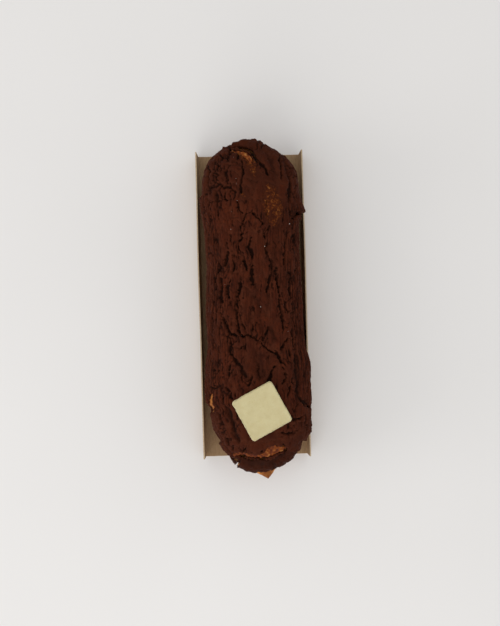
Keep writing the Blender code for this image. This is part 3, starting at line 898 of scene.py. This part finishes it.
def make_tray(sizes):
    section = tray_section()
    stations = np.linspace(-TRAY_LENGTH / 2, TRAY_LENGTH / 2, 91)
    across = len(section)
    outside = np.zeros((len(stations), across, 3))
    inside = np.zeros_like(outside)
    for row, y in enumerate(stations):
        x, z, nx, nz = section.T
        up = smooth_step(z, 1.0, WALL_HEIGHT)
        # Hand-folded card: the walls waver, and their tops are cut a little unevenly
        waver = (np.sin(y / 31.0 + 0.6) * 0.5 + np.sin(y / 11.0) * 0.2) * sizes.tray_warp / MM
        trim = soft_noise(np.full(across, y), x, 9.0, 9.0, 81) * 0.12
        place = np.stack((x + waver * up * np.sign(x) * np.where(x > 0, 0.7, 1.0),
                          np.full(across, y), z + trim * up), axis=1)
        normal = np.stack((nx, np.zeros(across), nz), axis=1)
        fibre = soft_noise(np.full(across, y), np.cumsum(np.ones(across)), 2.0, 1.5, 82) * 0.02
        outside[row] = place
        inside[row] = place - normal * (CARD_THICKNESS + fibre[:, None])
    ends = np.array([0, len(stations) - 1])
    outside[ends, :, 1] += soft_noise(outside[ends, :, 0], outside[ends, :, 2], 1.5, 1.5, 83) * 0.06
    inside[ends, :, 1] = outside[ends, :, 1]
    total = len(stations) * across
    numbers = np.arange(total).reshape(len(stations), across)
    faces, cut = [], []
    for i in range(len(stations) - 1):
        for j in range(across - 1):
            quad = (numbers[i, j], numbers[i, j + 1], numbers[i + 1, j + 1], numbers[i + 1, j])
            faces.append(quad)
            faces.append(tuple(index + total for index in quad[::-1]))
    rows, last = len(stations) - 1, across - 1
    for i in range(rows):
        cut.append((numbers[i + 1, 0], numbers[i, 0], numbers[i, 0], numbers[i + 1, 0]))
        cut.append((numbers[i, last], numbers[i + 1, last], numbers[i + 1, last], numbers[i, last]))
    for j in range(last):
        cut.append((numbers[0, j], numbers[0, j + 1], numbers[0, j + 1], numbers[0, j]))
        cut.append((numbers[rows, j + 1], numbers[rows, j], numbers[rows, j], numbers[rows, j + 1]))
    cut = [(b, a, d + total, c + total) for a, b, c, d in ((c[0], c[1], c[1], c[0]) for c in cut)]
    points = np.concatenate((outside.reshape(-1, 3), inside.reshape(-1, 3)))
    faces = [tuple(int(index) for index in face) for face in faces + cut]
    thing = mesh_object("tray", points, faces)
    flags = [0] * (len(faces) - len(cut)) + [1] * len(cut)
    thing.data.polygons.foreach_set("material_index", flags)
    shape = bmesh.new()
    shape.from_mesh(thing.data)
    bmesh.ops.recalc_face_normals(shape, faces=shape.faces)
    shape.to_mesh(thing.data)
    shape.free()
    thing.data.set_sharp_from_angle(angle=math.radians(45))
    return thing


# ---- Plaque -------------------------------------------------------------------------------------

PLAQUE_SIDE = 18.5
PLAQUE_THICKNESS = 1.8
PLAQUE_CORNER = 1.3
PLAQUE_TURN = math.radians(27.5)
PLAQUE_LEAN = math.radians(1.5)
PLAQUE_LIFT = 0.8


def make_plaque(sizes):
    """A cast square with soft corners, a faintly sunk and rippled face and a slightly ragged edge."""
    shape = bmesh.new()
    bmesh.ops.create_grid(shape, x_segments=74, y_segments=74, size=PLAQUE_SIDE / 2)
    half, corner = PLAQUE_SIDE / 2, PLAQUE_CORNER
    for vert in shape.verts:
        x, y = vert.co.x, vert.co.y
        over_x, over_y = abs(x) - (half - corner), abs(y) - (half - corner)
        if over_x > 0 and over_y > 0:
            # Map the square corner onto a round one
            big, long = max(over_x, over_y), math.hypot(over_x, over_y)
            over_x, over_y = over_x * big / long, over_y * big / long
            x = math.copysign(half - corner + over_x, x)
            y = math.copysign(half - corner + over_y, y)
        vert.co.x, vert.co.y = x, y
    grown = bmesh.ops.extrude_face_region(shape, geom=list(shape.faces))
    moved = [item for item in grown["geom"] if isinstance(item, bmesh.types.BMVert)]
    bmesh.ops.translate(shape, verts=moved, vec=(0, 0, -PLAQUE_THICKNESS))
    bmesh.ops.recalc_face_normals(shape, faces=shape.faces)
    rims = [edge for edge in shape.edges if edge.calc_face_angle(0.0) > 1.2]
    bmesh.ops.bevel(shape, geom=rims, offset=0.32, segments=3, profile=0.55, affect="EDGES")
    for vert in shape.verts:
        place = vert.co.copy()
        edge = max(abs(place.x), abs(place.y)) / half
        ragged = noise.noise(Vector((place.x * 0.55, place.y * 0.55, 3.1))) * 0.16
        ragged += noise.noise(Vector((place.x * 1.7, place.y * 1.7, place.z * 1.4))) * 0.05
        if edge > 0.93:
            out = Vector((place.x, place.y, 0)).normalized()
            vert.co += out * ragged * (1.4 if place.x < 0 else 0.8)
        if place.z > -0.2:
            dish = 0.1 * (min(abs(place.x) / half, 1) ** 4 + min(abs(place.y) / half, 1) ** 4)
            ripple = noise.noise(Vector((place.x * 0.3, place.y * 0.3, 7.7))) * 0.06
            ripple += noise.noise(Vector((place.x * 1.1, place.y * 1.1, 1.7))) * 0.018
            vert.co.z += dish + ripple - 0.1
    bmesh.ops.scale(shape, verts=shape.verts, vec=(MM, MM, MM))
    mesh = bpy.data.meshes.new("plaque")
    turn = Matrix.Rotation(PLAQUE_LEAN, 4, "X") @ Matrix.Rotation(PLAQUE_TURN, 4, "Z")
    height = (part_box("white_chocolate_plaque")[0][2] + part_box("white_chocolate_plaque")[1][2]) / 2
    place = Matrix.Translation((PLAQUE_PLACE[0] * MM, PLAQUE_PLACE[1] * MM, height + PLAQUE_THICKNESS / 2 * MM))
    shape.transform(place @ turn)
    shape.to_mesh(mesh)
    shape.free()
    mesh.shade_smooth()
    thing = bpy.data.objects.new("plaque", mesh)
    bpy.context.scene.collection.objects.link(thing)
    return thing


# ---- Sugar grains -------------------------------------------------------------------------------

SUGAR_PLACES = ((16.0, 32.0, .36), (2.7, -2.4, .34), (5.0, 22.5, .26), (-9.0, 30.0, .16))


def make_sugar(sizes):
    """Sugar crystals left on the crust, joined into one mesh."""
    rng = np.random.default_rng(91)
    shape = bmesh.new()
    places = list(SUGAR_PLACES)
    while len(places) < sizes.sugar_count:
        places.append((rng.uniform(-15, 16), rng.uniform(-60, 62), rng.uniform(0.08, 0.15)))
    for x, y, size in places:
        if math.hypot(x - PLAQUE_PLACE[0], y - PLAQUE_PLACE[1]) < 14:
            continue
        p, q = (np.array([value]) for value in on_sheet(x, y))
        height, _ = crust_relief(p, q, sizes)
        place = loaf_point(p, q)[0] + loaf_normal(p, q)[0] * (height[0] + size * 0.25)
        made = bmesh.ops.create_cube(shape, size=1.0)
        verts = made["verts"]
        edges = list({edge for vert in verts for edge in vert.link_edges})
        made = bmesh.ops.bevel(shape, geom=edges, offset=0.18, segments=1, affect="EDGES")
        verts = [vert for vert in made["verts"]]
        spin = Matrix.Rotation(rng.uniform(0, 6), 4, "Z") @ Matrix.Rotation(rng.uniform(-0.6, 0.6), 4, "X")
        stretch = Matrix.Diagonal((size * MM * 1.2, size * MM * rng.uniform(0.8, 1.2), size * MM, 1.0))
        bmesh.ops.transform(shape, verts=verts, matrix=Matrix.Translation(place * MM) @ spin @ stretch)
    mesh = bpy.data.meshes.new("sugar_grains")
    shape.to_mesh(mesh)
    shape.free()
    thing = bpy.data.objects.new("sugar_grains", mesh)
    bpy.context.scene.collection.objects.link(thing)
    return thing


# ---- Finishes -----------------------------------------------------------------------------------

def add_node(tree, kind, settings=None, links=None):
    """Add a node, set its properties and sockets, and link its inputs from other sockets."""
    node = tree.nodes.new(kind)
    for key, value in (settings or {}).items():
        if isinstance(key, int) or key in node.inputs:
            node.inputs[key].default_value = value
        else:
            setattr(node, key, value)
    for key, socket in (links or {}).items():
        tree.links.new(socket, node.inputs[key])
    return node


def new_finish(name):
    """An empty material with a Principled shader, and what its pattern starts from."""
    material = bpy.data.materials.new(name)
    material.use_nodes = True
    tree = material.node_tree
    tree.nodes.clear()
    shader = add_node(tree, "ShaderNodeBsdfPrincipled")
    add_node(tree, "ShaderNodeOutputMaterial", links={"Surface": shader.outputs["BSDF"]})
    place = add_node(tree, "ShaderNodeTexCoord").outputs["Object"]
    return material, tree, shader, place


def per_mm(size):
    """Scale of a texture whose features measure size millimetres, in metre coordinates."""
    return 1.0 / (size * MM)


def tint(tree, factor, first, second, blend="MIX"):
    """Mix two colours, each a socket or a plain value, by a factor that is either too."""
    node = add_node(tree, "ShaderNodeMix", {"data_type": "RGBA", "blend_type": blend})
    for index, value in ((0, factor), (6, first), (7, second)):
        if isinstance(value, bpy.types.NodeSocket):
            tree.links.new(value, node.inputs[index])
        else:
            node.inputs[index].default_value = value if index == 0 else (*value[:3], 1.0)
    return node.outputs[2]


def remap(tree, socket, low, high, start=0.0, end=1.0):
    node = add_node(tree, "ShaderNodeMapRange", {"From Min": low, "From Max": high, "To Min": start, "To Max": end},
                    {"Value": socket})
    return node.outputs["Result"]


def craquelin_finish(colours):
    """Baked cocoa cookie dough: a dry, porous biscuit, so it is matt, nearly without a gloss, with painted shade
    in its cracks and a painted highlight on its raised edges."""
    material, tree, shader, place = new_finish("baked_cocoa_craquelin")
    crack_shade, rim, thin, lip, plate, stretch = (
        add_node(tree, "ShaderNodeAttribute", {"attribute_name": key}).outputs["Fac"]
        for key in ("crack_shade", "rim", "thin", "lip", "plate", "stretch"))
    patches = add_node(tree, "ShaderNodeTexNoise", {"Scale": per_mm(5.0), "Detail": 3.0, "Roughness": 0.6},
                       {"Vector": place}).outputs["Fac"]
    grain = add_node(tree, "ShaderNodeTexNoise", {"Scale": per_mm(0.7), "Detail": 3.0, "Roughness": 0.65},
                     {"Vector": place}).outputs["Fac"]
    # Fibres of stretched dough, 0.5 mm apart and some 3 mm long
    drawn = add_node(tree, "ShaderNodeMapping", {"Scale": (1.0, 0.16, 1.0)}, {"Vector": place}).outputs["Vector"]
    fibres = add_node(tree, "ShaderNodeTexNoise", {"Scale": per_mm(0.9), "Detail": 3.0, "Roughness": 0.7,
                                                    "Distortion": 0.8}, {"Vector": drawn}).outputs["Fac"]
    colour = tint(tree, remap(tree, patches, 0.35, 0.65), colours.crust[:], colours.crust_light[:])
    colour = tint(tree, remap(tree, plate, -1.0, 1.0, 0.0, 0.3), colour, colours.crust_dark[:])
    colour = tint(tree, remap(tree, grain, 0.35, 0.7, 0.45, 0.0), colour, colours.crust_dark[:])
    streak = add_node(tree, "ShaderNodeMath", {"operation": "MULTIPLY"},
                      {0: stretch, 1: remap(tree, fibres, 0.36, 0.54, 0.5, 0.0)}).outputs[0]
    colour = tint(tree, streak, colour, colours.crust_dark[:])
    # Painted highlight along the paler fibres
    glint = add_node(tree, "ShaderNodeMath", {"operation": "MULTIPLY"},
                     {0: stretch, 1: remap(tree, fibres, 0.54, 0.7, 0.0, 0.3)}).outputs[0]
    colour = tint(tree, glint, colour, colours.crust_dust_and_highlight[:])
    # Darker towards the ends
    colour = tint(tree, remap(tree, stretch, 0.0, 1.0, 0.3, 0.0), colour, colours.crust_dark[:])
    # Painted highlight on the raised edges of the cracks
    colour = tint(tree, remap(tree, rim, 0.0, 1.0, 0.0, 0.35), colour, colours.crust_dust_and_highlight[:])
    # Painted shade on the sunken lip in front of the bare crack
    colour = tint(tree, remap(tree, lip, 0.0, 1.0, 0.0, 0.5), colour, colours.crust_dark[:])
    # Specks of choux where the crust is thin
    specks = add_node(tree, "ShaderNodeTexNoise", {"Scale": per_mm(1.1), "Detail": 5.0, "Roughness": 0.75,
                                                    "Distortion": 0.6}, {"Vector": place}).outputs["Fac"]
    bare = add_node(tree, "ShaderNodeMath", {"operation": "ADD"},
                    {0: specks, 1: remap(tree, thin, 0.0, 1.0, -0.35, 0.0)}).outputs[0]
    colour = tint(tree, remap(tree, thin, 0.0, 1.0, 0.0, 0.4), colour, colours.crust_dark[:])
    colour = tint(tree, remap(tree, bare, 0.46, 0.6, 0.0, 0.6), colour, colours.choux_torn[:])
    colour = tint(tree, remap(tree, bare, 0.58, 0.68, 0.0, 0.95), colour, colours.choux_thread[:])
    # Painted shade in the cracks, pits, stretch marks and hollows
    colour = tint(tree, remap(tree, crack_shade, 0.12, 0.8, 0.0, 0.9), colour, colours.crack_shade[:])
    # Cocoa and flour grains, 0.25 mm, coarsened to 0.4 mm to show
    crumb = add_node(tree, "ShaderNodeTexNoise", {"Scale": per_mm(0.4), "Detail": 2.0, "Roughness": 0.6},
                     {"Vector": place}).outputs["Fac"]
    height = add_node(tree, "ShaderNodeBump", {"Strength": 0.7, "Distance": 0.1 * MM}, {"Height": crumb})
    tree.links.new(colour, shader.inputs["Base Color"])
    tree.links.new(remap(tree, grain, 0.3, 0.7, 0.68, 0.9), shader.inputs["Roughness"])
    tree.links.new(height.outputs["Normal"], shader.inputs["Normal"])
    shader.inputs["IOR"].default_value = 1.4
    shader.inputs["Specular IOR Level"].default_value = 0.07
    # Loose flour and sugar dust catches the light at a slant
    shader.inputs["Sheen Weight"].default_value = 0.01
    shader.inputs["Sheen Roughness"].default_value = 0.45
    shader.inputs["Sheen Tint"].default_value = (1.0, 0.8, 0.72, 1.0)
    return material


def choux_finish(colours):
    """Baked choux dough: egg-rich and browned, satin on its blistered skin, torn into paler threads where
    it burst through the crust."""
    material, tree, shader, place = new_finish("baked_choux_pastry")
    toast, opening, slot, torn = (
        add_node(tree, "ShaderNodeAttribute", {"attribute_name": key}).outputs["Fac"]
        for key in ("toast", "opening", "slot", "torn"))
    patches = add_node(tree, "ShaderNodeTexNoise", {"Scale": per_mm(2.5), "Detail": 4.0, "Roughness": 0.65},
                       {"Vector": place}).outputs["Fac"]
    threads = add_node(tree, "ShaderNodeTexNoise", {"Scale": per_mm(1.1), "Detail": 5.0, "Roughness": 0.7},
                       {"Vector": place}).outputs["Fac"]
    colour = tint(tree, remap(tree, patches, 0.35, 0.65), colours.choux[:], colours.choux_toasted[:])
    colour = tint(tree, remap(tree, toast, 0.2, 1.0, 0.0, 0.85), colour, colours.choux_dark[:])
    # Burst dough is brown as the crust where it baked longest, with pale threads standing up from it
    raised = add_node(tree, "ShaderNodeMath", {"operation": "ADD"}, {0: threads, 1: torn}).outputs[0]
    burst = tint(tree, remap(tree, raised, 0.8, 1.12), colours.crust_light[:], colours.choux_torn[:])
    burst = tint(tree, remap(tree, raised, 1.2, 1.42), burst, colours.choux_thread[:])
    colour = tint(tree, opening, colour, burst)
    # Painted shade on the choux down in the slots
    colour = tint(tree, slot, colour, colours.crack_shade[:])
    skin = add_node(tree, "ShaderNodeTexNoise", {"Scale": per_mm(0.5), "Detail": 3.0, "Roughness": 0.6},
                    {"Vector": place}).outputs["Fac"]
    height = add_node(tree, "ShaderNodeBump", {"Strength": 0.5, "Distance": 0.1 * MM}, {"Height": skin})
    tree.links.new(colour, shader.inputs["Base Color"])
    tree.links.new(remap(tree, patches, 0.3, 0.7, 0.5, 0.72), shader.inputs["Roughness"])
    tree.links.new(height.outputs["Normal"], shader.inputs["Normal"])
    shader.inputs["IOR"].default_value = 1.45
    shader.inputs["Specular IOR Level"].default_value = 0.12
    return material


def card_finish(colours):
    """Unbleached kraft board, calendered: matt brown pulp with short lengthwise fibres."""
    material, tree, shader, place = new_finish("kraft_board")
    fibre_place = add_node(tree, "ShaderNodeMapping", {"Scale": (1.0, 0.22, 1.0)}, {"Vector": place}).outputs["Vector"]
    # Fibres are 0.03 mm thick, drawn at 0.35 mm to show
    fibres = add_node(tree, "ShaderNodeTexNoise", {"Scale": per_mm(0.35), "Detail": 3.0, "Roughness": 0.7},
                      {"Vector": fibre_place}).outputs["Fac"]
    cloud = add_node(tree, "ShaderNodeTexNoise", {"Scale": per_mm(9.0), "Detail": 2.0}, {"Vector": place}).outputs["Fac"]
    colour = tint(tree, remap(tree, fibres, 0.3, 0.7), colours.card_dark[:], colours.card[:])
    colour = tint(tree, remap(tree, cloud, 0.35, 0.65, 0.0, 0.2), colour, colours.card_dark[:])
    height = add_node(tree, "ShaderNodeBump", {"Strength": 0.35, "Distance": 0.04 * MM}, {"Height": fibres})
    tree.links.new(colour, shader.inputs["Base Color"])
    tree.links.new(height.outputs["Normal"], shader.inputs["Normal"])
    shader.inputs["Roughness"].default_value = 0.8
    shader.inputs["IOR"].default_value = 1.47
    return material


def cut_card_finish(colours):
    """The same board where the die cut it: raw, fluffy pulp, paler than the pressed face."""
    material, tree, shader, place = new_finish("kraft_board_cut_edge")
    fluff = add_node(tree, "ShaderNodeTexNoise", {"Scale": per_mm(0.4), "Detail": 2.0}, {"Vector": place}).outputs["Fac"]
    colour = tint(tree, remap(tree, fluff, 0.3, 0.7), colours.card[:], colours.card_cut[:])
    height = add_node(tree, "ShaderNodeBump", {"Strength": 0.5, "Distance": 0.05 * MM}, {"Height": fluff})
    tree.links.new(colour, shader.inputs["Base Color"])
    tree.links.new(height.outputs["Normal"], shader.inputs["Normal"])
    shader.inputs["Roughness"].default_value = 0.9
    return material


def white_chocolate_finish(colours):
    """White chocolate, cast on a sheet and cut: cocoa butter gives an even ivory with a satin face,
    faintly mottled where the butter set."""
    material, tree, shader, place = new_finish("cast_white_chocolate")
    bloom = add_node(tree, "ShaderNodeTexNoise", {"Scale": per_mm(4.0), "Detail": 4.0, "Roughness": 0.55},
                     {"Vector": place}).outputs["Fac"]
    specks = add_node(tree, "ShaderNodeTexNoise", {"Scale": per_mm(0.8), "Detail": 2.0}, {"Vector": place}).outputs["Fac"]
    colour = tint(tree, remap(tree, bloom, 0.35, 0.65), colours.plaque[:], colours.plaque_pale[:])
    colour = tint(tree, remap(tree, specks, 0.55, 0.75, 0.0, 0.35), colour, colours.plaque_dark[:])
    height = add_node(tree, "ShaderNodeBump", {"Strength": 0.2, "Distance": 0.05 * MM}, {"Height": bloom})
    tree.links.new(colour, shader.inputs["Base Color"])
    tree.links.new(remap(tree, bloom, 0.3, 0.7, 0.42, 0.55), shader.inputs["Roughness"])
    tree.links.new(height.outputs["Normal"], shader.inputs["Normal"])
    shader.inputs["IOR"].default_value = 1.46
    shader.inputs["Subsurface Weight"].default_value = 0.15
    shader.inputs["Subsurface Radius"].default_value = (1.0, 0.8, 0.5)
    shader.inputs["Subsurface Scale"].default_value = 0.8 * MM
    return material


def sugar_finish(colours):
    """Sugar crystals: clear, but small and scratched enough to look white and glint."""
    material, tree, shader, place = new_finish("sugar_crystal")
    frost = add_node(tree, "ShaderNodeTexNoise", {"Scale": per_mm(0.3)}, {"Vector": place}).outputs["Fac"]
    tree.links.new(tint(tree, frost, colours.sugar[:], colours.crust_dust_and_highlight[:]), shader.inputs["Base Color"])
    shader.inputs["Roughness"].default_value = 0.35
    shader.inputs["IOR"].default_value = 1.54
    return material


def floor_finish(colours):
    """Glazed white stoneware seen close: even, pale and softly satin."""
    material, tree, shader, place = new_finish("pale_matt_floor")
    cloud = add_node(tree, "ShaderNodeTexNoise", {"Scale": per_mm(90.0), "Detail": 1.0}, {"Vector": place}).outputs["Fac"]
    tree.links.new(tint(tree, cloud, colours.floor[:], colours.floor_shade[:]), shader.inputs["Base Color"])
    shader.inputs["Roughness"].default_value = 0.6
    shader.inputs["Specular IOR Level"].default_value = 0.2
    return material


# ---- Settings -----------------------------------------------------------------------------------

def length_setting(name, description, default):
    return bpy.props.FloatProperty(name=name, description=description, default=default, min=0.0, unit="LENGTH",
                                   precision=5)


def colour_setting(name, description, code):
    return bpy.props.FloatVectorProperty(name=name, description=description, default=linear(code), size=3,
                                         subtype="COLOR", min=0.0, max=1.0)


class EclairSizes(bpy.types.PropertyGroup):
    """Sizes of the pieces and how finely they are meshed"""

    plate_width: length_setting("Plate width", "Size of the crust's plates across the eclair", 5.2 * MM)
    plate_length: length_setting("Plate length", "Size of the plates along it, between the ends", 15.0 * MM)
    crack_width: length_setting("Crack width", "Width of the widest cracks", 1.3 * MM)
    crack_depth: length_setting("Crack depth", "Depth of the main cracks", 1.6 * MM)
    crust_grid: length_setting("Crust grid", "Spacing of the points that the crust is made from", 0.3 * MM)
    choux_grid: length_setting("Choux grid", "Spacing of the points that the choux is made from", 0.36 * MM)
    tray_warp: length_setting("Tray warp", "How far the tray's walls waver", 0.3 * MM)
    crust_triangles: bpy.props.IntProperty(
        name="Crust triangles", description="Most triangles in the crust", default=196000, min=1000)
    choux_triangles: bpy.props.IntProperty(
        name="Choux triangles", description="Most triangles in the choux", default=140000, min=1000)
    sugar_count: bpy.props.IntProperty(
        name="Sugar grains", description="Number of sugar crystals", default=15, min=0)


class EclairColours(bpy.types.PropertyGroup):
    """Colours of the finishes"""

    crust: colour_setting("Crust", "Face of the crust's plates", "#441a0d")
    crust_light: colour_setting("Crust, light", "Redder patches of the plates", "#51210f")
    crust_dark: colour_setting("Crust, dark", "Darker grains and plates", "#2b1208")
    # Painted highlight for raised edges and fibres; also the dust on the sugar grains
    crust_dust_and_highlight: colour_setting("Crust, dusty", "Raised edges and dusty fibres", "#552d1d")
    # Painted shade for the floors of the cracks and for the choux down in the slots
    crack_shade: colour_setting("Crack", "Floor of the cracks", "#190a05")
    choux: colour_setting("Choux", "Golden skin of the choux", "#c8863c")
    choux_toasted: colour_setting("Choux, toasted", "Browner skin", "#96501a")
    choux_dark: colour_setting("Choux, dark", "Darkest skin", "#5e2c10")
    choux_torn: colour_setting("Choux, torn", "Burst dough in the openings", "#773a10")
    choux_thread: colour_setting("Choux, thread", "Pale threads standing up from it", "#9c6a38")
    card: colour_setting("Card", "Face of the card", "#a88a66")
    card_dark: colour_setting("Card, dark", "Darker fibres", "#8b6f4e")
    card_cut: colour_setting("Card, cut", "Cut edges", "#cdb999")
    plaque: colour_setting("Plaque", "Face of the plaque", "#c1b385")
    plaque_pale: colour_setting("Plaque, pale", "Paler mottling", "#c8bc8f")
    plaque_dark: colour_setting("Plaque, dark", "Yellower specks", "#b5a570")
    sugar: colour_setting("Sugar", "Sugar crystals", "#e8ded2")
    floor: colour_setting("Floor", "The floor", "#e6e3e0")
    floor_shade: colour_setting("Floor, shade", "Its faint clouding", "#e2dfdc")


class EclairStage(bpy.types.PropertyGroup):
    """Light and floor"""

    key_power: bpy.props.FloatProperty(
        name="Key light", description="Power of the window-like light in front", default=3.6, min=0.0, unit="POWER")
    side_power: bpy.props.FloatProperty(
        name="Side light", description="Power of the low light at the left", default=2.5, min=0.0, unit="POWER")
    fill_strength: bpy.props.FloatProperty(
        name="Fill", description="Strength of the light from all round", default=0.82, min=0.0)
    floor_size: length_setting("Floor size", "Length of the floor's sides", 3.0)


# ---- Operators ----------------------------------------------------------------------------------

def dress(thing, node, slot, *finishes):
    """Give a piece its finishes, and let it stand for its node of the frame."""
    for finish in finishes:
        thing.data.materials.append(finish)
    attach(thing, "root")
    if node:
        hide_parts(node)


class ECLAIR_OT_stage(bpy.types.Operator):
    """Set up the floor, the soft light and the camera"""

    bl_idname = "eclair.stage"
    bl_label = "Stage"

    def execute(self, context):
        scene = context.scene
        stage = scene.eclair_stage
        half = stage.floor_size / 2
        mesh = bpy.data.meshes.new("floor")
        mesh.from_pydata([(-half, -half, 0), (half, -half, 0), (half, half, 0), (-half, half, 0)], [], [(0, 1, 2, 3)])
        floor = bpy.data.objects.new("floor", mesh)
        scene.collection.objects.link(floor)
        mesh.materials.append(floor_finish(scene.eclair_colours))
        self.add_light(scene, "key", (-0.26, -0.88, 0.62), 1.0, stage.key_power)
        self.add_light(scene, "side", (-1.00, -0.15, 0.38), 0.6, stage.side_power)
        world = bpy.data.worlds.new("soft_room")
        world.use_nodes = True
        world.node_tree.nodes["Background"].inputs["Color"].default_value = (0.98, 0.99, 1.0, 1.0)
        world.node_tree.nodes["Background"].inputs["Strength"].default_value = stage.fill_strength
        scene.world = world
        scene.view_settings.view_transform = "Standard"
        scene.view_settings.look = "None"
        self.add_camera(scene)
        return {"FINISHED"}

    def add_light(self, scene, name, place, size, power):
        data = bpy.data.lights.new(name, "AREA")
        data.shape = "DISK"
        data.size = size
        data.energy = power
        light = bpy.data.objects.new(name, data)
        light.location = place
        light.rotation_euler = (-Vector(place)).to_track_quat("-Z", "Y").to_euler()
        scene.collection.objects.link(light)

    def add_camera(self, scene):
        """Almost straight above, 0.43 m up."""
        data = bpy.data.cameras.new("camera")
        data.lens = 55.33
        data.sensor_width = 36.0
        data.clip_start = 0.001
        camera = bpy.data.objects.new("camera", data)
        turns = ((-1.61, "Z"), (-0.92, "Y"), (1.88, "X"))
        turn = Matrix.Identity(4)
        for degrees, axis in turns:
            turn = turn @ Matrix.Rotation(math.radians(degrees), 4, axis)
        camera.matrix_world = Matrix.Translation((-0.0086, -0.0178, 0.434)) @ turn
        scene.collection.objects.link(camera)
        scene.camera = camera


class ECLAIR_OT_craquelin(bpy.types.Operator):
    """Bake the cracked cocoa crust"""

    bl_idname = "eclair.craquelin"
    bl_label = "Craquelin crust"

    def execute(self, context):
        scene = context.scene
        thing = make_crust(scene.eclair_sizes)
        dress(thing, "craquelin_crust", "chocolate_craquelin", craquelin_finish(scene.eclair_colours))
        return {"FINISHED"}


class ECLAIR_OT_choux(bpy.types.Operator):
    """Bake the choux bun that shows through and below the crust"""

    bl_idname = "eclair.choux"
    bl_label = "Choux bun"

    def execute(self, context):
        scene = context.scene
        thing = make_choux(scene.eclair_sizes)
        dress(thing, "choux_bun", "choux_pastry", choux_finish(scene.eclair_colours))
        return {"FINISHED"}


class ECLAIR_OT_tray(bpy.types.Operator):
    """Fold the card tray"""

    bl_idname = "eclair.tray"
    bl_label = "Card tray"

    def execute(self, context):
        scene = context.scene
        thing = make_tray(scene.eclair_sizes)
        colours = scene.eclair_colours
        dress(thing, "card_tray", "kraft_card", card_finish(colours), cut_card_finish(colours))
        return {"FINISHED"}


class ECLAIR_OT_plaque(bpy.types.Operator):
    """Cast the bare plaque of white chocolate"""

    bl_idname = "eclair.plaque"
    bl_label = "White chocolate plaque"

    def execute(self, context):
        scene = context.scene
        thing = make_plaque(scene.eclair_sizes)
        dress(thing, "white_chocolate_plaque", "white_chocolate", white_chocolate_finish(scene.eclair_colours))
        return {"FINISHED"}


class ECLAIR_OT_sugar(bpy.types.Operator):
    """Scatter a few sugar crystals on the crust"""

    bl_idname = "eclair.sugar"
    bl_label = "Sugar grains"

    def execute(self, context):
        scene = context.scene
        thing = make_sugar(scene.eclair_sizes)
        dress(thing, None, "chocolate_craquelin", sugar_finish(scene.eclair_colours))
        return {"FINISHED"}


class ECLAIR_PT_panel(bpy.types.Panel):
    """Lists the eclair's pieces in the order that they are made"""

    bl_idname = "ECLAIR_PT_panel"
    bl_label = "Chocolate eclair"
    bl_space_type = "VIEW_3D"
    bl_region_type = "UI"
    bl_category = "Eclair"

    def draw(self, context):
        for operator in OPERATORS:
            self.layout.operator(operator.bl_idname)


OPERATORS = (
    ECLAIR_OT_stage,
    ECLAIR_OT_tray,
    ECLAIR_OT_choux,
    ECLAIR_OT_craquelin,
    ECLAIR_OT_plaque,
    ECLAIR_OT_sugar,
)
SETTINGS = {"eclair_sizes": EclairSizes, "eclair_colours": EclairColours, "eclair_stage": EclairStage}


def register():
    for group in SETTINGS.values():
        bpy.utils.register_class(group)
    for name, group in SETTINGS.items():
        setattr(bpy.types.Scene, name, bpy.props.PointerProperty(type=group))
    for kind in (*OPERATORS, ECLAIR_PT_panel):
        bpy.utils.register_class(kind)


def unregister():
    for kind in (ECLAIR_PT_panel, *reversed(OPERATORS)):
        bpy.utils.unregister_class(kind)
    for name, group in SETTINGS.items():
        delattr(bpy.types.Scene, name)
        bpy.utils.unregister_class(group)


def main():
    register()
    for operator in OPERATORS:
        family, action = operator.bl_idname.split(".")
        getattr(getattr(bpy.ops, family), action)()
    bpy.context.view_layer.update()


if __name__ == "__main__":
    main()
